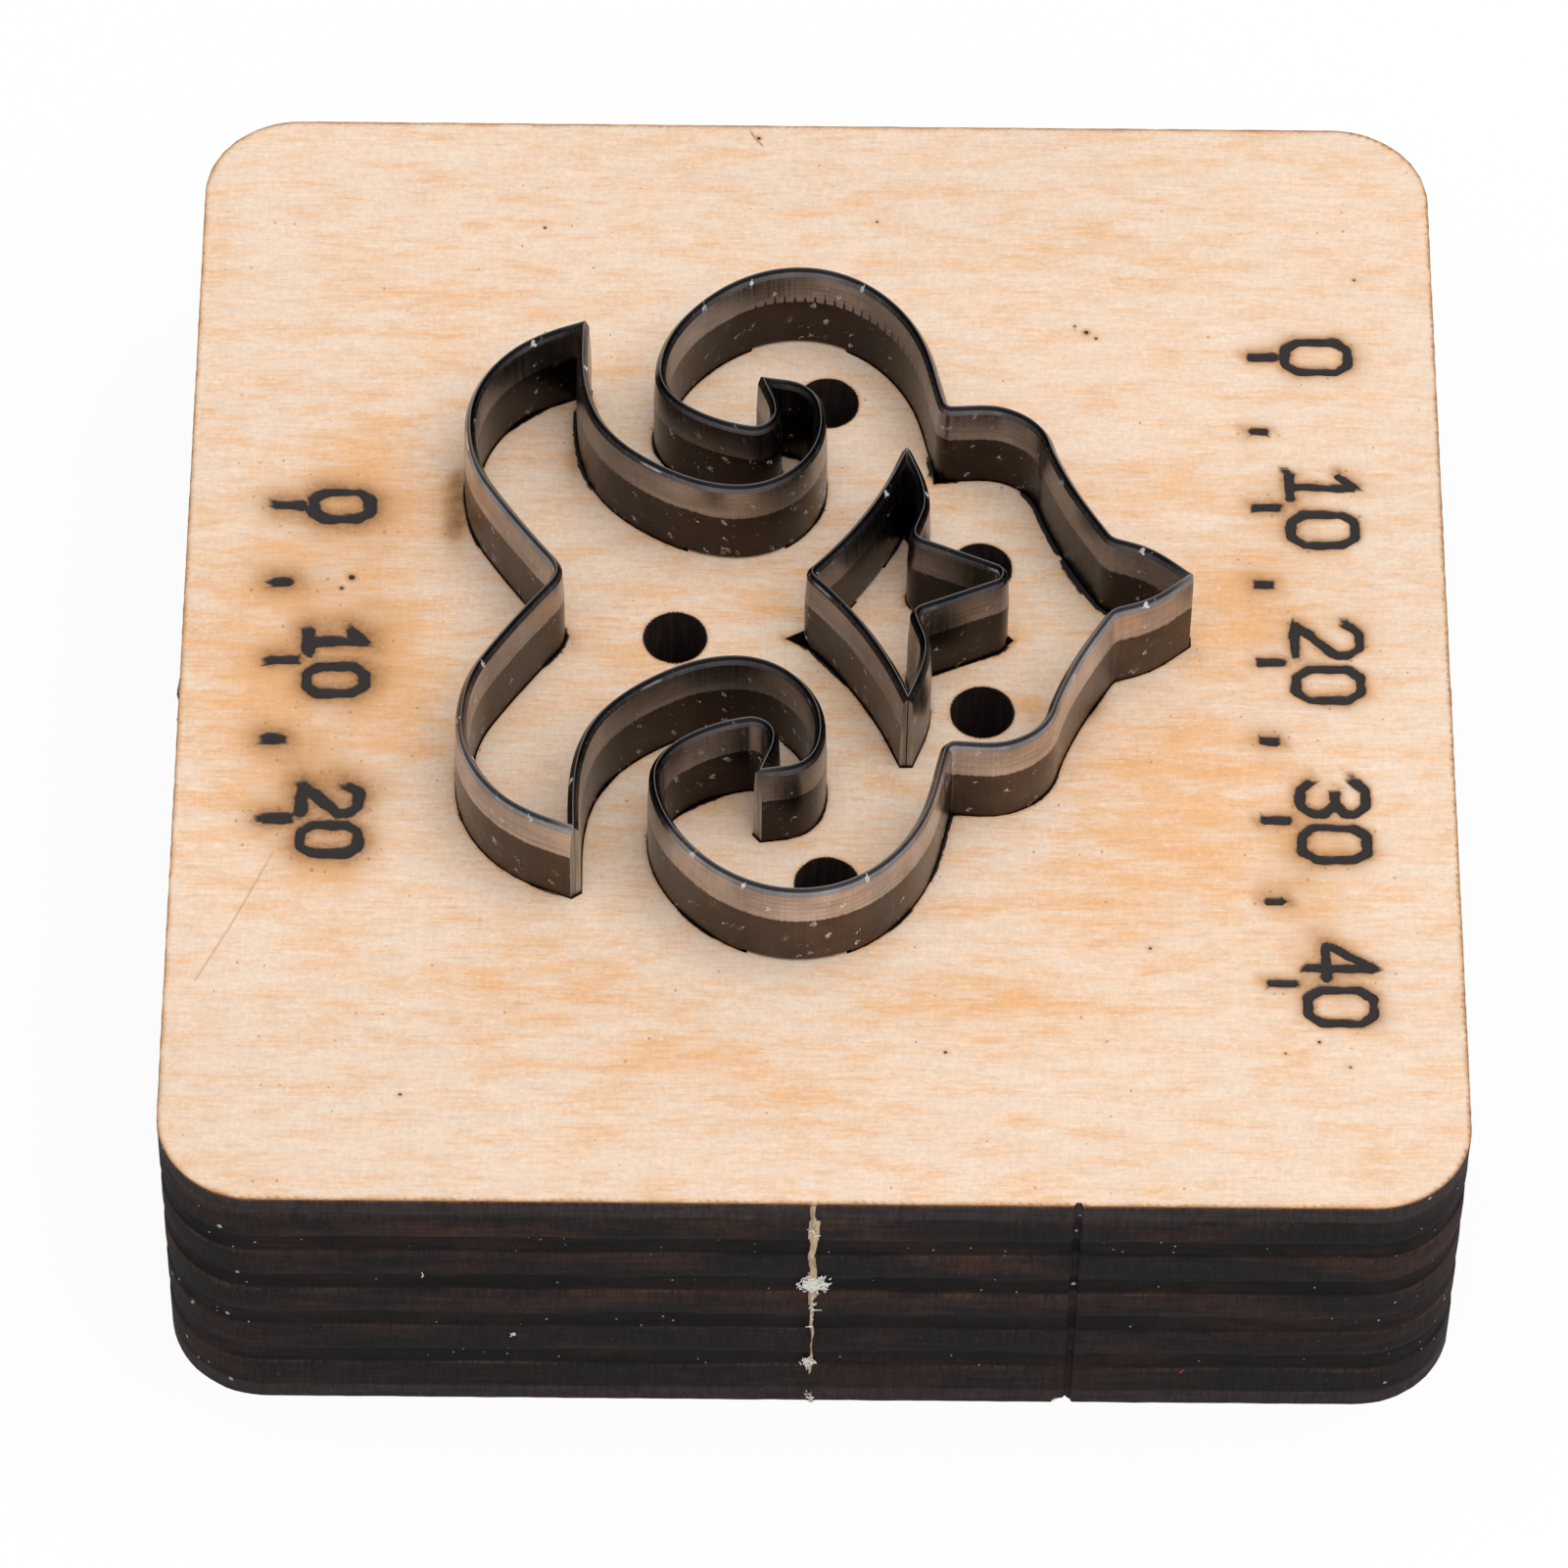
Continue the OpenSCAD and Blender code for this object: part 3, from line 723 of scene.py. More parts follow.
def burns(places, slot_edges, hole_edges, mark_width):
    """Scorch, char, stain and stroke depth, each from 0 to 1, at places on the board's top.

    Scorch and char fade with the distance from the slots, holes, rim and burnt strokes, by an uneven reach.
    Scorch also takes the smoke clouds, two of which are painted shadows, and the black beside two of the
    wide kerfs is partly painted shadow.
    """
    x, y = places.T
    uneven = ripple(x, y, 3)
    fine = ripple(3.1 * x, 3.1 * y, 5)
    slot = distance_to(places, slot_edges)
    hole = distance_to(places, hole_edges)
    rim = np.maximum(rim_depth(places), 0)
    away = away_from_ends(places)
    wide = np.zeros(len(places))
    # Wide kerfs: more black and a longer scorch beside the slot, partly painted shadow at two of them
    for ax, ay, bx, by, width in KERFS_AND_SHADOWS:
        gap = distance_to(places, np.array([[(ax, ay), (bx, by)]]))
        wide = np.maximum(wide, width * (1 - smooth(gap, 0.3, 0.75)))
    patchy = smooth(uneven, 0.5, 0.95) * away
    black = 0.02 + 0.10 * patchy + wide * (0.7 + 0.3 * fine)
    char = (1 - smooth(slot, 0.55 * black, black)) * np.maximum(0.12 + 0.88 * patchy, smooth(wide, 0.0, 0.06))
    char = np.maximum(char, 1 - smooth(hole, 0.01, 0.06 + 0.09 * fine))
    scorch = (0.15 + 0.35 * away) * np.exp(-slot / (0.06 + 0.12 * uneven + 0.8 * wide))
    scorch = np.maximum(scorch, 0.7 * np.exp(-hole / 0.13))
    scorch = np.maximum(scorch, np.exp(-rim / (0.07 + 0.08 * fine)))
    depth = np.zeros(len(places))
    for strokes, heavy in ((RIGHT_SCALE, 0.0), (LEFT_SCALE, 0.5)):
        low = np.vstack(strokes).min(0) - 6
        high = np.vstack(strokes).max(0) + 6
        near = ((places > low) & (places < high)).all(1)
        gap = distance_to(places[near], np.vstack([segments(stroke) for stroke in strokes]))
        half = mark_width * (0.40 + 0.22 * fine[near] + 0.3 * heavy * uneven[near])
        burnt = 1 - smooth(gap, half * 0.75, half * 1.35)
        depth[near] = np.maximum(depth[near], burnt)
        char[near] = np.maximum(char[near], burnt * (0.86 + 0.14 * fine[near]))
        reach = 0.22 + 0.34 * uneven[near] + 0.9 * heavy
        halo = (0.60 + 0.3 * heavy) * np.exp(-np.maximum(gap - half, 0) / reach)
        scorch[near] = np.maximum(scorch[near], halo)
    # The smoke clouds darken the scorch; two of them are painted shadows beside rule feet
    for smoke_and_shadow in soft_spots(x, y, SMOKE_AND_SHADOWS):
        scorch = 1 - (1 - scorch) * (1 - smoke_and_shadow * (0.55 + 0.45 * fine))
    for dx, dy, r in DOTS:
        gap = np.hypot(x - dx, y - dy)
        char = np.maximum(char, 0.75 * (1 - smooth(gap, 0.5 * r, 1.2 * r)))
        scorch = np.maximum(scorch, 0.5 * np.exp(-np.maximum(gap - r, 0) / r))
    for stroke, strength in SCRATCHES:
        gap = distance_to(places, segments(stroke))
        scorch = np.maximum(scorch, strength * (1 - smooth(gap, 0.03, 0.1)))
    stain = np.max(list(soft_spots(x, y, STAINS)), axis=0)
    return np.clip(scorch, 0, 1), np.clip(char, 0, 1), stain, depth


# Half width of the front tab's torn wood by height
TORN_HEIGHT = (
    0.0, 0.5, 0.9, 2.6, 3.1, 4.2, 4.8, 5.6, 6.2, 9.3, 9.8, 11.6, 12.4, 14.6, 15.2, 16.6, 16.9, 18.0)
TORN_HALF = (
    0.16, 0.18, 0.0, 0.0, 0.16, 0.15, 0.06, 0.05, 0.13, 0.15, 0.3, 0.32, 0.2, 0.24, 0.38, 0.36, 0.12, 0.2)
# Height of the glue line under the face veneer, and the strength of the painted highlight on the lower lips
# of the four cross plies
VENEER_Z = 16.62
LIP_HIGHLIGHT = (0.9, 0.45, 0.9, 0.5)


def skirt_columns():
    """Places round the board's outline, closer at the tabs and the groove, and the ways out of the board."""
    ring = rim_places(0, 0.08)
    x, y = ring.T
    front = y < -BOARD_D / 2 + 0.5
    side = np.abs(x) > BOARD_W / 2 - 0.5
    close = front & ((np.abs(x) < 0.9) | (np.abs(x - GROOVE_X + 0.15) < 0.75))
    close |= side & (np.abs(y - SIDE_TAB_Y) < 0.8)
    kept = close | (np.arange(len(ring)) % 6 == 0)
    ring = ring[kept]
    out = ring - np.clip(ring, -CORE, CORE)
    return ring, out / np.linalg.norm(out, axis=1)[:, None]


def pierce_height(places):
    """Height of the pierce nick over places: half a circle at the front edge's foot."""
    x, y = places.T
    arch = np.sqrt(np.maximum(PIERCE_R ** 2 - (x - PIERCE_X) ** 2, 0))
    return np.where(y < -BOARD_D / 2 + 0.3, arch, 0)


def board_skirt():
    """The board's edge as places by row and column, and the values cross, lip_highlight and torn.

    It is the outline, drawn in where the cross plies are burnt back between wandering bounds, a little by
    fuzz and at the groove, and moved out at the torn tabs. Lip_highlight is a painted highlight along the
    cross plies' lower lips and the glue line under the face veneer.
    """
    ring, out = skirt_columns()
    x, y = ring.T
    bounds = np.array(CROSS_PLIES).ravel()
    z = np.sort(np.r_[np.linspace(0, BOARD_T, 26), bounds - 0.13, bounds - 0.04, bounds + 0.04, bounds + 0.13,
                      16.55, 16.65, 16.8, BOARD_T - 0.12, 0.12])
    z = z[np.r_[True, np.diff(z) > 0.03]][:, None]
    cross = np.zeros((len(z), len(ring)))
    lip_highlight = np.zeros_like(cross)
    depth = np.zeros_like(cross)
    for order, (low, high) in enumerate(CROSS_PLIES):
        low = low + 0.14 * (ripple(0.35 * x, 0.35 * y, 20 + order) - 0.5)
        high = high + 0.14 * (ripple(0.45 * x, 0.45 * y, 30 + order) - 0.5)
        gap = smooth(z, low - 0.14, low + 0.16) * (1 - smooth(z, high - 0.14, high + 0.14))
        cross = np.maximum(cross, gap)
        depth = np.maximum(depth, gap * (0.08 + 0.07 * ripple(1.7 * x, 1.7 * y, 40 + order)))
        # Painted highlight along the cross plies' lower lips and along the glue line under the face veneer
        bright = LIP_HIGHLIGHT[order] * ripple(0.6 * x, 0.6 * y, 50 + order) ** 1.5
        lip_highlight = np.maximum(lip_highlight, bright * np.exp(-((z - low + 0.07) / 0.06) ** 2))
    veneer = VENEER_Z + 0.1 * (ripple(0.5 * x, 0.5 * y, 60) - 0.5)
    lip_highlight = np.maximum(lip_highlight, 0.7 * ripple(0.6 * x, 0.6 * y, 61) ** 1.5 * np.exp(-((z - veneer) / 0.06) ** 2))
    move = -depth - 0.03 * ripple(4 * x + 2.5 * z, 4 * y - 3 * z, 62)
    front = y < -BOARD_D / 2 + 0.3
    middle = 0.04 * np.sin(1.3 * z) + 0.04 * np.sin(3.1 * z + 1)
    half = 0.8 * np.interp(z, TORN_HEIGHT, TORN_HALF)
    torn = front * (1 - smooth(np.abs(x - middle), half - 0.07, half + 0.05)) * (half > 0.02)
    move = np.where(torn > 0, np.maximum(move, -0.03) + 0.14 * torn, move)
    side = np.abs(x) > BOARD_W / 2 - 0.3
    lumps = ripple(z * 1.4, np.sign(x) * 5 + 0 * z, 63) ** 2
    knob = side * (1 - smooth(np.abs(y - SIDE_TAB_Y), 0.15, 0.45)) * lumps
    move = move + 0.22 * knob
    torn = np.maximum(torn, 0.35 * knob * (x < 0))
    move = move - 0.22 * front * (1 - smooth(np.abs(x - GROOVE_X), 0.12, 0.24))
    places = np.stack([x + move * out[:, 0], y + move * out[:, 1], np.maximum(z, pierce_height(ring))], -1)
    return places, {"cross": cross, "lip_highlight": lip_highlight, "torn": torn}


def filled(outline, rim_edges, extra, edges):
    """A flat face inside closed outlines, by constrained triangulation: its places and triangles."""
    flat = np.vstack([outline, extra])
    found = delaunay_2d_cdt([Vector(p) for p in flat.tolist()], rim_edges.tolist(), [], 0, 1e-7, False)
    flat = np.array([tuple(p) for p in found[0]])
    faces = np.array(found[2])
    return flat, faces[inside(flat[faces].mean(1), edges)]


# How far in from the rim the cuts lie at least, and how far off a face's height its corners may be
CUT_INSET = 1.5
LEVEL_GAP = 1e-3


def board_mesh(looks):
    """The board: the CAD's slot and hole walls, a fine edge, and a top and a back between them.

    The top has close places beside every burn, and it is sunk where a stroke is burnt in.
    """
    points, corners = merged_node("die_board")
    level = points[corners, 2]
    on_top = (level > BOARD_T - LEVEL_GAP).all(1)
    on_back = (level < LEVEL_GAP).all(1)
    walls = corners[~on_top & ~on_back & (rim_depth(points[corners].mean(1)[:, :2]) > CUT_INSET)]
    skirt, skirt_values = board_skirt()
    rows, columns = skirt.shape[:2]
    mark_width = looks.mark_width / MM
    loop = np.c_[np.arange(columns), (np.arange(columns) + 1) % columns]
    quads = grid_faces(rows, columns)
    quads = np.vstack([quads[:, [0, 1, 2]], quads[:, [0, 2, 3]]])
    blocks = [skirt.reshape(-1, 3), points]
    faces = [quads, walls + len(blocks[0])]
    slots = [np.full(len(quads), 1), np.full(len(walls), 2)]
    cut_edges = []
    for chosen, row, height in ((on_top, -1, BOARD_T), (on_back, 0, 0.0)):
        pairs = lone_edges(corners[chosen])
        pairs = pairs[rim_depth(points[pairs].mean(1)[:, :2]) > CUT_INSET]
        used, pairs = np.unique(pairs, return_inverse=True)
        pairs = pairs.reshape(-1, 2)
        outline = np.vstack([points[used, :2], skirt[row, :, :2]])
        bounds = np.vstack([pairs, loop + len(used)])
        edges = outline[bounds]
        extra = top_places(edges, motif_lines(), mark_width) if row else np.zeros((0, 2))
        flat, triangles = filled(outline, bounds, extra, edges)
        heights = np.full(len(flat), height) if row else pierce_height(flat)
        if row:
            cut_edges = outline[pairs]
        faces.append(triangles + sum(len(block) for block in blocks))
        slots.append(np.zeros(len(triangles), int))
        blocks.append(np.c_[flat, heights])
    points = np.vstack(blocks)
    values = {key: np.zeros(len(points)) for key in ("scorch", "char", "stain", "cross", "lip_highlight", "torn")}
    for key, numbers in skirt_values.items():
        values[key][:rows * columns] = numbers.ravel()
    holes = np.array(HOLES) + (MOTIF_X, MOTIF_Y)
    by_hole = (np.abs(np.linalg.norm(cut_edges.mean(1)[:, None] - holes, axis=2) - HOLE_R) < 0.03).any(1)
    high = points[:, 2] > BOARD_T - LEVEL_GAP
    found = burns(points[high, :2], cut_edges[~by_hole], cut_edges[by_hole], mark_width)
    values["scorch"][high], values["char"][high], values["stain"][high], depth = found
    points[high, 2] -= depth * looks.mark_depth / MM
    return points, np.vstack(faces), np.concatenate(slots), values


# Colours of the board that aren't settings
PALE_SPECK = (0.93, 0.80, 0.68)
SINGE = (0.52, 0.26, 0.10)
VENEER_EDGE = (0.040, 0.030, 0.031)
# Painted highlight on the plies' lips
PLY_LIP_HIGHLIGHT = (0.15, 0.095, 0.068)
EDGE_DUST = (0.50, 0.50, 0.49)
CUT_BLACK = (0.024, 0.015, 0.013)
CUT_BROWN = (0.075, 0.038, 0.028)
RED_FIBRE = (0.55, 0.07, 0.09)


def veneer_material(looks):
    """Birch veneer: pale wood with warm clouds, flecks and fibres along x, small pores, and the burns, among
    them painted shadows beside some rule feet.
    """
    material, tree, shader = new_material("birch_veneer", 0.62, 0.3)
    stain = attribute(tree, "stain")
    scorch = attribute(tree, "scorch")
    broad = noise(tree, (26, 70, 30), 2.0, 0.5)
    clouds = noise(tree, (230, 820, 60), 4.0, 0.6)
    streaks = noise(tree, (650, 5200, 100), 3.0, 0.6)
    flecks = noise(tree, (520, 4600, 100), 2.0, 0.55)
    fibres = noise(tree, (650, 7500, 200), 4.0, 0.65)
    grain = noise(tree, (3400, 4600, 300), 3.0, 0.7)
    hairs = noise(tree, (6500, 1300, 200), 2.0, 0.5)
    both = clouds * 0.6 + streaks * 0.4 + stain * 0.26
    colour = both.ramp(0.40, 0.78).mix(looks.pale_wood, looks.warm_wood)
    fleck = flecks.ramp(0.59, 0.76) * both.ramp(0.44, 0.64, 0.10, 0.75)
    colour = fleck.mix(colour, looks.fleck_wood)
    fine = fibres.ramp(0.3, 0.7, 0.955, 1.03) * hairs.ramp(0.3, 0.7, 0.975, 1.02)
    colour = tinted(tree, colour, fine * grain.ramp(0.3, 0.7, 0.93, 1.05) * broad.ramp(0.3, 0.7, 0.97, 1.02))
    colour = (specks(tree, (1300, 1900, 1), 0.16, 0.4) * 0.35).mix(colour, PALE_SPECK)
    colour = (specks(tree, (830, 690, 1), 0.07, 0.25) * 0.45).mix(colour, looks.scorch)
    pepper = specks(tree, (1500, 1300, 1), 0.16, 0.6) * scorch.ramp(0.05, 0.30, 0, 0.6)
    colour = pepper.mix(colour, looks.scorch)
    burn = scorch * grain.ramp(0.25, 0.75, 0.82, 1.14)
    colour = burn.ramp(0.0, 0.55, 0, 0.75).mix(colour, SINGE)
    colour = burn.ramp(0.30, 1.0, 0, 0.95).mix(colour, looks.scorch)
    char = attribute(tree, "char") + fibres.ramp(0.2, 0.8, -0.14, 0.14)
    drive(shader, base_color=char.ramp(0.25, 0.75).mix(colour, looks.char))
    bump(shader, fibres + grain, 0.00004, 0.4)
    return material


def edge_material(looks):
    """Charred plywood edge: singed plies, black cross plies, painted highlights on the plies' lips, fuzz,
    torn wood and dust.
    """
    material, tree, shader = new_material("charred_edge", 0.85, 0.12)
    z = object_height(tree)
    fuzz = noise(tree, (5000, 5000, 900), 4.0, 0.7)
    patches = noise(tree, (110, 110, 360), 4.0, 0.65)
    streaks = noise(tree, (260, 260, 3000), 3.0, 0.6)
    brown = patches.ramp(0.43, 0.68) * z.ramp(0.003, 0.014, 0.5, 1.0)
    colour = brown.mix(looks.dark_ply, looks.long_ply)
    veneer = z.ramp(0.0166, 0.0169) + z.ramp(0.0010, 0.0013, 1, 0)
    colour = veneer.mix(colour, VENEER_EDGE)
    cross = attribute(tree, "cross") + fuzz.ramp(0.2, 0.8, -0.3, 0.3)
    cross = cross.ramp(0.1, 1.0) * patches.ramp(0.35, 0.6, 1.0, 0.62) * z.ramp(0.002, 0.012, 0.6, 1.0)
    colour = cross.mix(colour, looks.cross_ply)
    # Painted highlight on the plies' lips
    lip_highlight = attribute(tree, "lip_highlight") * fuzz.ramp(0.3, 0.6, 0.1, 0.5)
    colour = lip_highlight.mix(colour, PLY_LIP_HIGHLIGHT)
    colour = tinted(tree, colour, fuzz.ramp(0.25, 0.75, 0.70, 1.32) * streaks.ramp(0.3, 0.7, 0.8, 1.2))
    rim = z + fuzz.ramp(0.2, 0.8, -0.00008, 0.00008)
    colour = rim.ramp((BOARD_T - 0.20) * MM, (BOARD_T - 0.03) * MM, 0, 0.9).mix(colour, looks.scorch)
    ragged = noise(tree, (2600, 2600, 900), 3.0, 0.6)
    torn = attribute(tree, "torn") + ragged.ramp(0.2, 0.8, -0.45, 0.30)
    wood = tinted(tree, looks.torn_wood, ragged.ramp(0.3, 0.7, 1.15, 0.6))
    colour = torn.ramp(0.40, 0.62).mix(colour, wood)
    dust = specks(tree, (1700, 1700, 1700), 0.24, 0.5, None, "3D") * 0.7
    drive(shader, base_color=dust.mix(colour, EDGE_DUST))
    bump(shader, fuzz, 0.00010, 0.6)
    return material


def cut_material():
    """Charred wall of a slot or hole: black with a little brown and a fine upright grain."""
    material, tree, shader = new_material("charred_cut", 0.9, 0.2)
    grain = noise(tree, (3000, 3000, 300), 3.0, 0.6)
    drive(shader, base_color=grain.ramp(0.4, 0.8).mix(CUT_BLACK, CUT_BROWN))
    bump(shader, grain, 0.00008, 0.5)
    return material


class MakeBoard(bpy.types.Operator):
    """Make the charred plywood board with its burnt scales"""

    bl_idname = "rule_die.make_board"
    bl_label = "Make board"

    def execute(self, context):
        looks = context.scene.board_looks
        points, faces, slots, values = board_mesh(looks)
        materials = [veneer_material(looks), edge_material(looks), cut_material()]
        piece = piece_from("plywood_board", points, faces.tolist(), materials, slots, values, sharp_angle=40)
        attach(piece, BODY)
        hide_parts("die_board")
        return {"FINISHED"}


# The fibres that stand out of the torn tabs

# Tufts on the front and the left edge: [way along it, height, reach along, reach up, count, length]
FRONT_TUFTS = [
    (0.08, 11.0, 0.50, 0.42, 300, 0.30), (-0.15, 3.8, 0.26, 0.24, 44, 0.30),
    (-0.06, 0.5, 0.12, 0.28, 10, 0.35), (-0.02, 15.9, 0.16, 0.60, 9, 0.35),
    (0.0, 8.2, 0.08, 1.20, 12, 0.30), (-14.9, 6.2, 0.06, 0.06, 7, 0.16),
]
LEFT_TUFTS = [(-3.0, 13.5, 0.25, 1.6, 14, 0.40), (-3.05, 6.5, 0.2, 1.6, 9, 0.35)]
# Single fibres on the front edge: [x, z, run along x, run up, share of red]
STRAYS = [(-19.4, 11.2, 0.04, 0.45, 0.0), (18.6, 2.95, 0.18, 0.32, 1.0)]
FIBRE_R = 0.036
FIBRE_STEPS = 7
FIBRE_SIDES = 5


def fibre_lines(draw, tufts, outside):
    """Lines of places [along, out, up] for the fibres of tufts, no further out than outside.

    Each starts in its tuft, runs in a random direction and bends as the square of the way along.
    """
    t = np.linspace(0, 1, FIBRE_STEPS)[:, None]
    lines = []
    for along, up, wide, tall, count, length in tufts:
        for _ in range(count):
            start = np.array([
                along + draw.normal() * wide * 0.6, draw.uniform(0.02, 0.2), up + draw.normal() * tall * 0.6])
            turn = draw.uniform(0, 2 * np.pi)
            reach = length * draw.uniform(0.45, 1.1)
            run = reach * np.array([0.8 * np.cos(turn), draw.uniform(0.05, 0.40), 1.2 * np.sin(turn)])
            curl = reach * draw.normal(size=3) * (0.35, 0.15, 0.35)
            line = start + run * t + curl * t * t
            line[:, 1] = np.clip(line[:, 1], -0.05, outside)
            line[:, 2] = np.clip(line[:, 2], 0.05, BOARD_T - 0.05)
            lines.append(line)
    return lines


def tubes(lines):
    """Tapered tubes round lines: rings square to the line's mean direction, closed at both ends."""
    turn = np.linspace(0, 2 * np.pi, FIBRE_SIDES, endpoint=False)
    places, faces = [], []
    for line in lines:
        base = sum(len(block) for block in places)
        run = line[-1] - line[0]
        run = run / max(np.linalg.norm(run), 1e-6)
        first = np.cross(run, (0.36, 0.48, 0.80))
        first = first / np.linalg.norm(first)
        second = np.cross(run, first)
        radius = FIBRE_R * np.linspace(1, 0.45, len(line))[:, None, None]
        ring = np.cos(turn)[:, None] * first + np.sin(turn)[:, None] * second
        places.append((line[:, None] + radius * ring).reshape(-1, 3))
        faces += (base + grid_faces(len(line), FIBRE_SIDES)).tolist()
        last = base + FIBRE_SIDES * (len(line) - 1)
        faces.append([base + j for j in reversed(range(FIBRE_SIDES))])
        faces.append([last + j for j in range(FIBRE_SIDES)])
    return np.vstack(places), faces


def fibre_mesh():
    """All fibres, as tubes, and how red each place is."""
    draw = np.random.default_rng(17)
    outside = TAB_OUT - FIBRE_R - 0.01
    front = fibre_lines(draw, FRONT_TUFTS, outside)
    t = np.linspace(0, 1, FIBRE_STEPS)
    for x, up, run, rise, _ in STRAYS:
        front.append(np.c_[x + run * t + 0.05 * np.sin(4 * t), 0.03 + 0.1 * t * (1 - t), up + rise * t])
    left = fibre_lines(draw, LEFT_TUFTS, outside)
    lines = [np.c_[line[:, 0], -BOARD_D / 2 - line[:, 1], line[:, 2]] for line in front]
    lines += [np.c_[-BOARD_W / 2 - line[:, 1], line[:, 0], line[:, 2]] for line in left]
    places, faces = tubes(lines)
    red = np.zeros(len(lines))
    red[len(front) - len(STRAYS):len(front)] = [stray[-1] for stray in STRAYS]
    return places, faces, np.repeat(red, FIBRE_STEPS * FIBRE_SIDES)


def fibre_material(looks):
    """Matt pale fibre, or red where its own value says so."""
    material, tree, shader = new_material("torn_fibre", 0.8, 0.2)
    drive(shader, base_color=attribute(tree, "red").mix(looks.fibre, RED_FIBRE))
    return material


class MakeFibres(bpy.types.Operator):
    """Make the fibres that stand out of the torn tabs"""

    bl_idname = "rule_die.make_fibres"
    bl_label = "Make fibres"

    def execute(self, context):
        places, faces, red = fibre_mesh()
        materials = [fibre_material(context.scene.board_looks)]
        piece = piece_from("torn_fibres", places, faces, materials, None, {"red": red}, sharp_angle=60)
        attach(piece, BODY)
        return {"FINISHED"}


# The rules

# Painted sky reflection: the bevel's colour where nothing stands close to its side
PAINTED_SKY_BEVEL = (0.050, 0.050, 0.058)
CHATTER_PITCH = 1.79
SIDE_APART = 53.0
TIP_GAP = 0.015
NOSE = 0.15
KINK = 0.08
BRIDGE_TOP = BOARD_T + 0.2


def leaves(line, end):
    """Direction in which a strip leaves one of its tips."""
    points, _ = line
    run = points[1] - points[0] if end == 0 else points[-2] - points[-1]
    return math.atan2(run[1], run[0])


def rule_section(looks):
    """The strip's section as rows [distance to the left, height]: foot, up the left, down the right."""
    top = looks.height / MM
    bevel = top - looks.bevel_height / MM
    band = bevel - looks.band_height / MM
    half = looks.thickness / MM / 2
    ground = half - looks.band_depth / MM
    edge = looks.edge_width / MM / 2
    kink_z = bevel + (ground - KINK) / (ground - edge) * (top - bevel)
    left = [(half, BOARD_T), (half, band), (ground, bevel), (KINK, kink_z), (edge, top)]
    foot = [(-half, 0), (-KINK, 0), (KINK, 0), (half, 0)]
    return np.array(foot + left + [(-w, z) for w, z in left[::-1]])


# Faces of a strip's end: the section's places are 0 to 13, and two middle columns of three follow
CAP = [
    (0, 1, 14, 13), (1, 2, 17, 14), (2, 3, 4, 17), (13, 14, 15, 12), (14, 17, 18, 15), (17, 4, 5, 18),
    (12, 15, 16, 11), (15, 18, 19, 16), (18, 5, 6, 19), (11, 16, 10), (16, 19, 7, 10), (19, 6, 7),
    (10, 7, 8, 9),
]


def tip_shift(w, turn, way):
    """How far along a place w to the left moves at a tip. The way is 1 at the first tip and -1 at the last.

    It is w times the cotangent of the half angle and the gap, but no further than the nose.
    """
    mitre = w / math.tan(turn) + way * TIP_GAP
    nose = (-way * NOSE - w * math.sin(turn)) / math.cos(turn)
    return np.maximum(mitre, nose) if way > 0 else np.minimum(mitre, nose)


def strip_mesh(lines, name, looks):
    """A strip's places, faces and slots, and the way along and the side at each place.

    Its section is carried along its line, mitred against the strips that it meets, with blunt noses and
    with a notch over each bridge.
    """
    line = lines[name]
    points, headings = line
    bridges, first, last = STRIPS[name]
    length = way_along(points)
    notch = np.zeros(len(points), bool)
    for x, y, half in bridges:
        at = length[np.linalg.norm(points - (x + MOTIF_X, y + MOTIF_Y), axis=1).argmin()]
        notch |= np.abs(length - at) < half
    step = np.flatnonzero(np.diff(notch.astype(int)))
    order = np.sort(np.r_[np.arange(len(points)), step + notch[step + 1]])
    foot = np.where(notch, BRIDGE_TOP, 0.0)[order]
    twice = np.flatnonzero(np.diff(order) == 0)
    foot[twice + 1] = foot[np.minimum(twice + 2, len(foot) - 1)]
    foot[twice] = foot[np.maximum(twice - 1, 0)]
    section = rule_section(looks)
    w, z = section.T
    shift = np.zeros((len(order), len(section)))
    tips = []
    for end, (other, other_end), way in ((0, first, 1), (-1, last, -1)):
        half_angle = math.remainder(leaves(lines[other], other_end) - leaves(line, end), 2 * math.pi) / 2
        tips.append((end, half_angle, way))
        shift[end] = tip_shift(w, half_angle, way)
    turn = headings[order][:, None]
    x = points[order, :1] - w * np.sin(turn) + shift * np.cos(turn)
    y = points[order, 1:] + w * np.cos(turn) + shift * np.sin(turn)
    blocks = [np.stack([x, y, np.maximum(z, foot[:, None])], -1).reshape(-1, 3)]
    m = len(section)
    faces = grid_faces(len(order), m)[:, [0, 3, 2, 1]].tolist()
    slots = [0] * len(faces)
    middle = np.repeat((-KINK, KINK), 3)
    for end, half_angle, way in tips:
        run = np.array((math.cos(headings[end]), math.sin(headings[end])))
        left = np.array((-run[1], run[0]))
        flat = points[end] + middle[:, None] * left + tip_shift(middle, half_angle, way)[:, None] * run
        start = sum(len(block) for block in blocks)
        ring = 0 if end == 0 else (len(order) - 1) * m
        faces += [[ring + v if v < m else start + v - m for v in face] for face in CAP]
        slots += [1] * len(CAP)
        blocks.append(np.c_[flat, np.tile(section[4:7, 1], 2)])
    along = np.r_[np.repeat(length[order], m), np.zeros(6), np.full(6, length[-1])]
    side = np.r_[np.tile(np.sign(w), len(order)), np.zeros(12)]
    return np.vstack(blocks), faces, slots, along, side


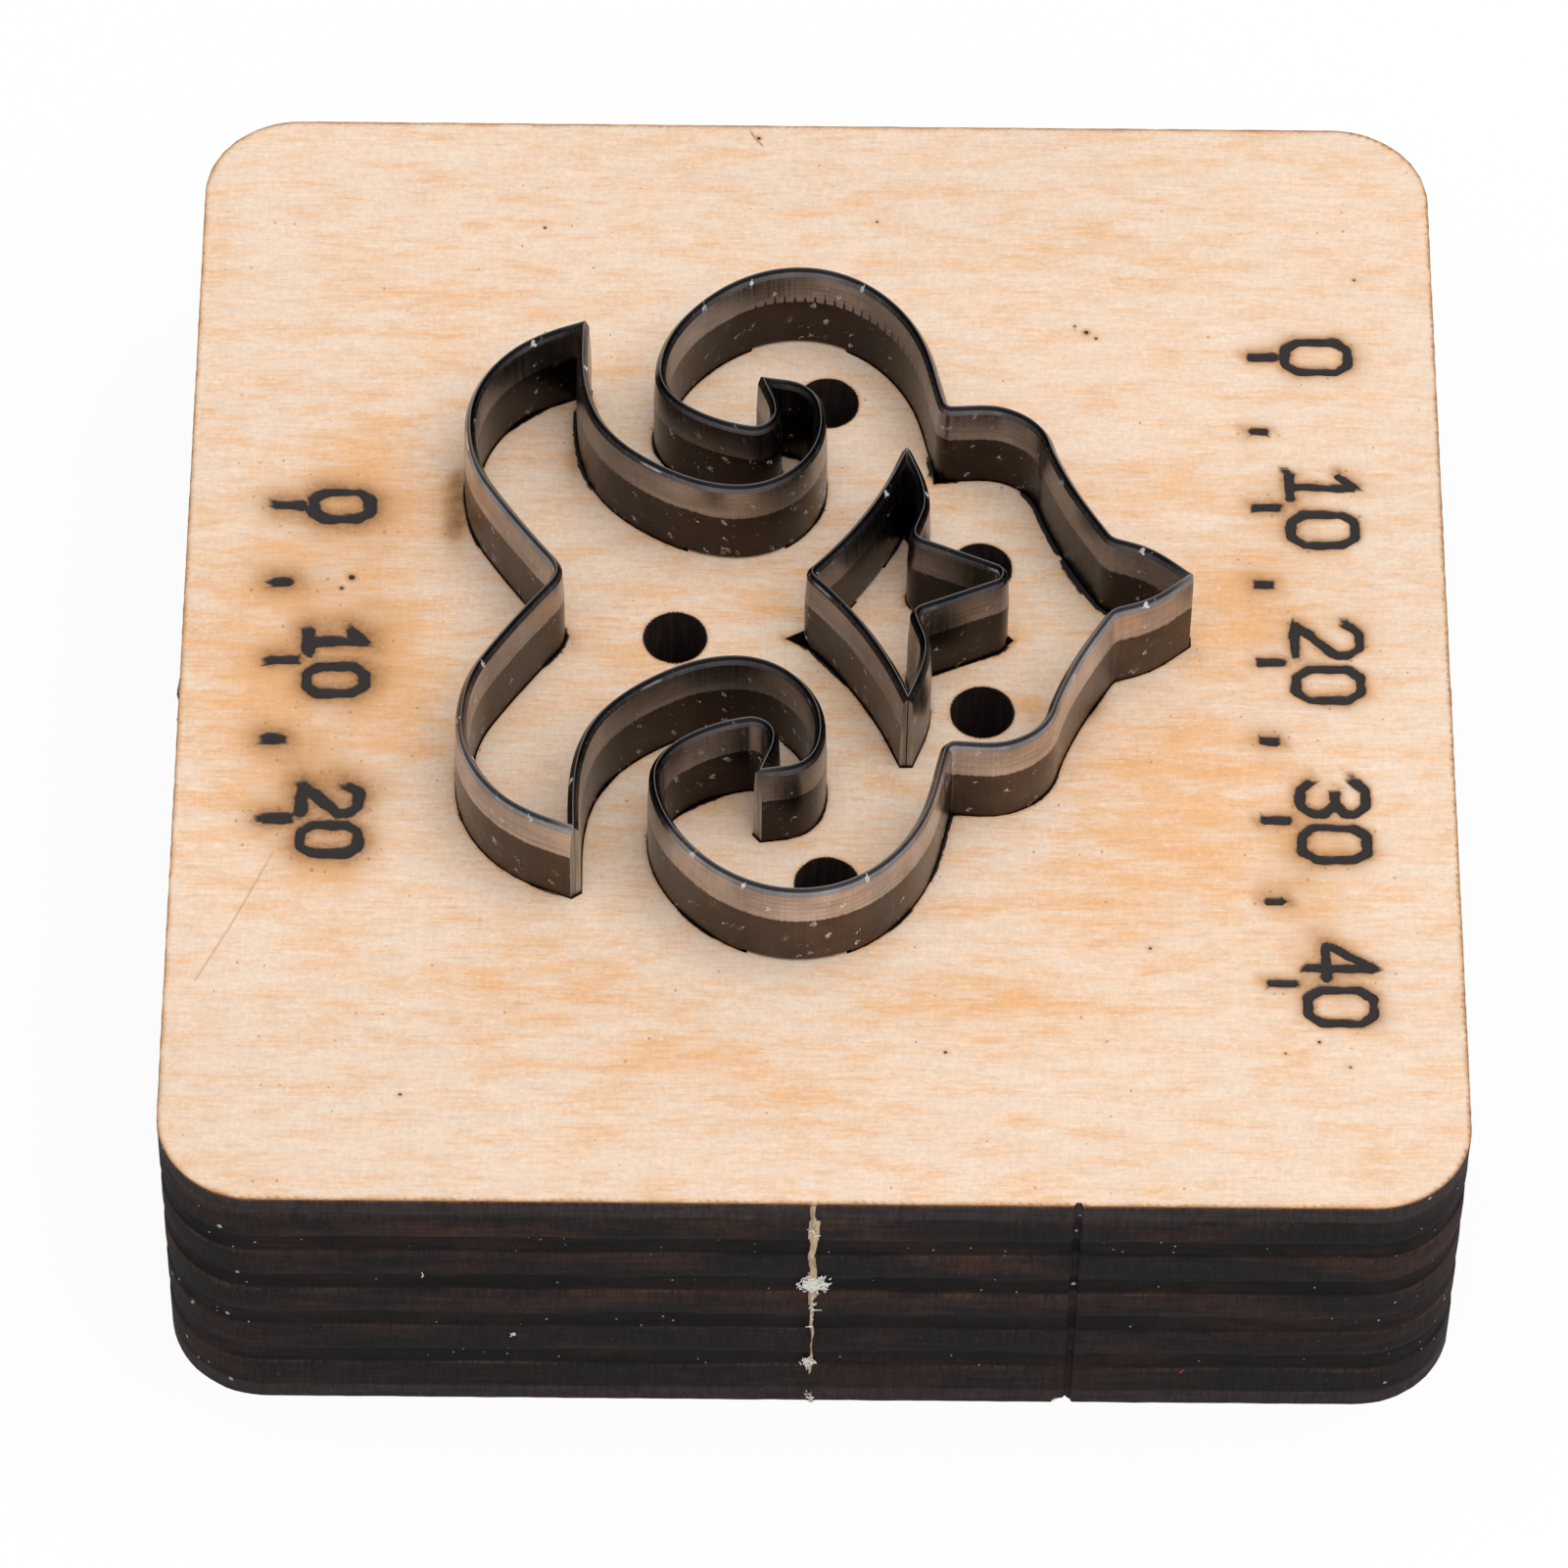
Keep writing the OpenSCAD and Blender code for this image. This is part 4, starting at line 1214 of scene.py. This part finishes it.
def first_wall(starts, runs, edges, limit=30.0):
    """How far each ray in plan goes before it meets an edge: ray and edge are solved as two lines."""
    a = edges[:, 0]
    wall = edges[:, 1] - a
    found = np.empty(len(starts))
    for part in parts_of(len(starts), 1000):
        gap = a - starts[part][:, None]
        run = runs[part][:, None]
        cross = run[..., 0] * wall[:, 1] - run[..., 1] * wall[:, 0]
        cross = np.where(np.abs(cross) < 1e-9, 1e-9, cross)
        t = (gap[..., 0] * wall[:, 1] - gap[..., 1] * wall[:, 0]) / cross
        s = (gap[..., 0] * run[..., 1] - gap[..., 1] * run[..., 0]) / cross
        found[part] = np.where((t > 0.1) & (s >= 0) & (s <= 1), t, limit).min(1)
    return found


# How much painted light a side gets, by the distance to the wall that it faces: painted shade where a wall
# stands close
WALL_GAP = (0.0, 2.0, 4.5, 10.0, 24.0, 30.0)
WALL_LIGHT = (0.0, 0.05, 0.27, 0.50, 0.66, 1.0)


def open_sides(lines, name, along):
    """Painted light and shade on a strip's left and right sides, from 0 to 1, at distances along it.

    It is the mean over a fan of rays in plan of the side's openness, less to the left, where painted shade
    makes it darker, and smoothed.
    """
    points, headings = lines[name]
    edges = np.vstack([segments(other) for other, _ in lines.values()])
    length = way_along(points)
    near = np.exp(-((length[:, None] - length) / 0.7) ** 2)
    near /= near.sum(1)[:, None]
    found = []
    for way in (1, -1):
        out = headings + way * np.pi / 2
        starts = points + 0.4 * np.c_[np.cos(out), np.sin(out)]
        total = np.zeros(len(points))
        for lean in np.radians((-50, -25, 0, 25, 50)):
            runs = np.c_[np.cos(out + lean), np.sin(out + lean)]
            total += np.interp(first_wall(starts, runs, edges), WALL_GAP, WALL_LIGHT) / 5
        # Painted shade: sides that face left are made darker
        total *= 1 - 0.9 * np.maximum(-np.cos(out), 0) * (1 - 0.75 * total)
        found.append(np.interp(along, length, near @ total))
    return found


def band_marks(name, along, side, places):
    """How far the ground band reaches down, in millimetres, and how much the grinding wheel chattered there.

    The chatter, from 0 to 1, is on the far loop's inner side.
    """
    reach = 0.06 * (ripple(along, side * 7, 11) - 0.5)
    chatter = np.zeros(len(along))
    if name == "upper_loop":
        x, y = places[:, 0], places[:, 1]
        chatter = smooth(x, -4.0, -1.5) * (1 - smooth(x, 5.2, 6.4)) * (side > 0) * (y > 13.5)
    return reach, chatter


def rule_material(looks):
    """Oiled spring steel: dark strip, paler ground band and black bevel by height, with painted light and
    shade.

    Band and strip carry painted shade where a side is closed in or faces left. The bevel's black is a painted
    dark reflection, lighter as a painted sky reflection where nothing stands close, and half the band's
    colour near the tips. There is a painted highlight, a bright line in places under the bevel, with brush
    and chatter marks, stains and lint.
    """
    material, tree, shader = new_material("rule_steel")
    z = object_height(tree)
    along, side = attribute(tree, "along"), attribute(tree, "side")
    height = z * (1 / MM)
    strip = field(tree, "ShaderNodeCombineXYZ", {0: along, 1: height, 2: side})
    brush = noise(tree, (5.0, 0.12, 9.0), 3.0, 0.6, strip)
    broad = noise(tree, (0.22, 0.10, 5.0), 2.0, 0.5, strip)
    stain = noise(tree, (0.5, 0.9, 3.0), 4.0, 0.65, strip)
    glint = noise(tree, (0.17, 0.0, 4.0), 3.0, 0.5, strip)
    lines = noise(tree, (0.12, 8.0, 9.0), 2.0, 0.5, strip)
    bevel_z = looks.height - looks.bevel_height
    band_z = bevel_z - looks.band_height
    # Teeth of the chatter marks, cut up into the band's lower edge
    tooth = (along * CHATTER_PITCH).alone("FRACT") - 0.5
    tooth = tooth.alone("ABSOLUTE").ramp(0.0, 0.17, 1, 0)
    tooth = tooth * stain.ramp(0.35, 0.6, 0.35, 0.75) * attribute(tree, "chatter")
    lowered = z + (attribute(tree, "band_reach") - tooth) * MM + brush.ramp(0.2, 0.8, -0.00005, 0.00005)
    band = lowered.ramp(band_z - 0.00006, band_z + 0.00006)
    bevel = z.ramp(bevel_z - 0.00003, bevel_z + 0.00001)
    upper = z.ramp(bevel_z + 0.00020, bevel_z + 0.00026)
    side_light_field = attribute(tree, "side_light")
    # Painted shade: band and strip are darker on sides that are closed in or face left, and lighter where
    # nothing stands close
    ground = tinted(tree, looks.band_steel, side_light_field.ramp(0.0, 1.0, 0.34, 1.16))
    body = tinted(tree, looks.body_steel, (side_light_field ** 1.5).ramp(0.0, 1.0, 0.34, 1.35))
    # The bevel's upper part: near black as a painted dark reflection, lighter as a painted sky reflection
    # where the side is not closed in, and half the band's colour near the tips
    dark = side_light_field.mix(looks.bevel_steel, PAINTED_SKY_BEVEL)
    dark = attribute(tree, "tip_fade").mix(dark, tinted(tree, ground, 0.5))
    # The bevel's lower part: the band's colour darkened as painted shade
    colour = bevel.mix(band.mix(body, ground), tinted(tree, ground, 0.62))
    colour = upper.mix(colour, dark)
    shade = ((lines - 0.5) * band).ramp(-0.2, 0.2, 0.86, 1.14) * brush.ramp(0.25, 0.75, 0.92, 1.08)
    shade = shade * broad.ramp(0.3, 0.7, 0.74, 1.22) * stain.ramp(0.35, 0.7, 1.06, 0.84)
    colour = tinted(tree, colour, shade)
    # Painted highlight: a bright line of bare steel in places just under the bevel's dark part
    line = z.ramp(bevel_z + 0.00006, bevel_z + 0.00010) - z.ramp(bevel_z + 0.00018, bevel_z + 0.00022)
    colour = (line * glint.ramp(0.57, 0.63, 0.0, 0.9)).mix(colour, looks.bare_steel)
    edge = z.ramp(looks.height - 0.00006, looks.height - 0.00001, 0, 0.3)
    colour = edge.mix(colour, looks.band_steel)
    flat_along = along + side * SIDE_APART
    flat = field(tree, "ShaderNodeCombineXYZ", {0: flat_along, 1: height})
    wobble = noise(tree, (6.0, 4.0, 1.0), 2.0, 0.6, flat).ramp(0.2, 0.8, -0.22, 0.22)
    bent = field(tree, "ShaderNodeCombineXYZ", {0: flat_along + wobble, 1: height - wobble})
    hairs = specks(tree, (3.6, 0.7, 1.0), 0.15, 0.15, bent) - bevel
    lint = specks(tree, (1.4, 0.85, 1.0), 0.19, 0.34, bent).larger(hairs)
    dust = specks(tree, (2.6, 2.2, 1.0), 0.15, 0.3, bent) * 0.2
    lint = (lint * stain.ramp(0.40, 0.62, 0.05, 0.9)).larger(dust)
    rough = brush.ramp(0.2, 0.8, 0.24, 0.33) + lint * 0.4
    drive(shader, base_color=lint.mix(colour, looks.lint), metallic=1.0 - lint, roughness=rough)
    bump(shader, brush, 0.00002, 0.08)
    return material


def nose_material(looks):
    """Bare cut steel of a strip's end, with marks of the cutter along z."""
    material, tree, shader = new_material("cut_steel", 0.4)
    marks = noise(tree, (2600, 2600, 160), 3.0, 0.6)
    drive(shader, base_color=tinted(tree, looks.bare_steel, marks.ramp(0.3, 0.7, 0.24, 0.55)))
    shader.inputs["Metallic"].default_value = 1.0
    bump(shader, marks, 0.00002, 0.4)
    return material


class MakeRules(bpy.types.Operator):
    """Make the bent cutting rules"""

    bl_idname = "rule_die.make_rules"
    bl_label = "Make rules"

    def execute(self, context):
        looks = context.scene.rule_looks
        materials = [rule_material(looks), nose_material(looks)]
        lines = motif_lines()
        for name in STRIPS:
            places, faces, slots, along, side = strip_mesh(lines, name, looks)
            reach, chatter = band_marks(name, along, side, places)
            # Painted light and shade on each side, by its openness and by how far it faces left
            left, right = open_sides(lines, name, along)
            # 1 near the strip's ends, where the bevel's painted dark reflection gives way to half the band's
            # colour
            tip_fade = 1 - smooth(np.minimum(along, along.max() - along), 0.15, 0.8)
            values = {
                "along": along, "side": side, "band_reach": reach, "chatter": chatter, "tip_fade": tip_fade,
                "side_light": np.where(side > 0, left, right),
            }
            piece = piece_from(name, places, faces, materials, slots, values, sharp_angle=24)
            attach(piece, BODY)
            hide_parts(f"{name}_rule")
        return {"FINISHED"}


# Stage: the floor, the lamp and the camera that was fitted to the photo

FLOOR_REACH = 3.0
LAMP_PLACE = (0.16, -0.10, 0.75)
LAMP_SIZE = 0.8
SENSOR_WIDTH = 36
CAMERA_NEAR = 0.01
CAMERA_RIGHT = (0.999952, 0.004083, 0.008956)
CAMERA_UP = (-0.008568, 0.809021, 0.587717)
CAMERA_BACK = (-0.004846, -0.587765, 0.809017)
CAMERA_PLACE = (-0.003843, -0.283350, 0.395602)


class MakeStage(bpy.types.Operator):
    """Make the floor, the light and the camera"""

    bl_idname = "rule_die.make_stage"
    bl_label = "Make stage"

    def execute(self, context):
        looks = context.scene.stage_looks
        scene = context.scene
        scene.view_settings.view_transform = "Standard"
        mesh = bpy.data.meshes.new("floor")
        ways = ((-1, -1, 0), (1, -1, 0), (1, 1, 0), (-1, 1, 0))
        mesh.from_pydata([Vector(way) * FLOOR_REACH for way in ways], [], [(0, 1, 2, 3)])
        floor = bpy.data.objects.new("floor", mesh)
        scene.collection.objects.link(floor)
        mesh.materials.append(floor_material(looks))
        light_world(scene, looks)
        lamp = bpy.data.lights.new("soft_lamp", "AREA")
        lamp.energy = looks.lamp_level
        lamp.size = LAMP_SIZE
        hung = bpy.data.objects.new("soft_lamp", lamp)
        hung.location = LAMP_PLACE
        hung.rotation_euler = (-hung.location).to_track_quat("-Z", "Y").to_euler()
        scene.collection.objects.link(hung)
        camera = bpy.data.cameras.new("camera")
        camera.lens = looks.lens
        camera.sensor_width = SENSOR_WIDTH
        camera.clip_start = CAMERA_NEAR
        seen = bpy.data.objects.new("camera", camera)
        turned = Matrix((CAMERA_RIGHT, CAMERA_UP, CAMERA_BACK)).transposed().to_4x4()
        turned.translation = CAMERA_PLACE
        seen.matrix_world = turned
        scene.collection.objects.link(seen)
        scene.camera = seen
        return {"FINISHED"}


def bare_rays(tree):
    """1 for rays from the camera, in a reflection or through glass."""
    kinds = ("Is Camera Ray", "Is Glossy Ray", "Is Transmission Ray")
    path = node(tree, "ShaderNodeLightPath")
    camera, glossy, through = (Field(tree, path.outputs[kind]) for kind in kinds)
    return camera.larger(glossy).larger(through)


def floor_material(looks):
    """Pale matt floor that the camera sees as nearly white, with a faint shadow."""
    material, tree, shader = new_material("pale_floor", 0.9)
    shader.inputs["Base Color"].default_value = (*looks.floor, 1)
    white = node(tree, "ShaderNodeEmission", {"Color": (1, 1, 1, 1), "Strength": 1.0})
    both = node(tree, "ShaderNodeMixShader", {0: bare_rays(tree) * 0.93})
    tree.links.new(shader.outputs[0], both.inputs[1])
    tree.links.new(white.outputs[0], both.inputs[2])
    tree.links.new(both.outputs[0], tree.nodes["Material Output"].inputs["Surface"])
    return material


def light_world(scene, looks):
    """Even soft light all round, seen as white by the camera and in reflections."""
    world = bpy.data.worlds.new("studio")
    scene.world = world
    world.use_nodes = True
    tree = world.node_tree
    sky = tree.nodes["Background"]
    sky.inputs["Color"].default_value = (1, 1, 1, 1)
    drive(sky, strength=bare_rays(tree).ramp(0, 1, looks.sky_level, 1.0))


class RuleDiePanel(bpy.types.Panel):
    """Steps and settings of the steel rule die"""

    bl_idname = "VIEW3D_PT_rule_die"
    bl_label = "Steel rule die"
    bl_space_type = "VIEW_3D"
    bl_region_type = "UI"
    bl_category = "Rule die"

    def draw(self, context):
        scene = context.scene
        for step in STEPS:
            self.layout.operator(step.bl_idname)
        for group in (scene.board_looks, scene.rule_looks, scene.stage_looks):
            box = self.layout.box()
            for key in group.__annotations__:
                box.prop(group, key)


STEPS = (MakeBoard, MakeFibres, MakeRules, MakeStage)
CLASSES = (BoardLooks, RuleLooks, StageLooks, *STEPS, RuleDiePanel)


def register():
    """Register the classes and hang the settings on the scene."""
    for cls in CLASSES:
        bpy.utils.register_class(cls)
    bpy.types.Scene.board_looks = bpy.props.PointerProperty(type=BoardLooks)
    bpy.types.Scene.rule_looks = bpy.props.PointerProperty(type=RuleLooks)
    bpy.types.Scene.stage_looks = bpy.props.PointerProperty(type=StageLooks)


def unregister():
    """Take the settings off the scene and unregister the classes."""
    del bpy.types.Scene.board_looks
    del bpy.types.Scene.rule_looks
    del bpy.types.Scene.stage_looks
    for cls in reversed(CLASSES):
        bpy.utils.unregister_class(cls)


def main():
    """Register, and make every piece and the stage."""
    register()
    bpy.ops.rule_die.make_board()
    bpy.ops.rule_die.make_fibres()
    bpy.ops.rule_die.make_rules()
    bpy.ops.rule_die.make_stage()


if __name__ == "__main__":
    main()
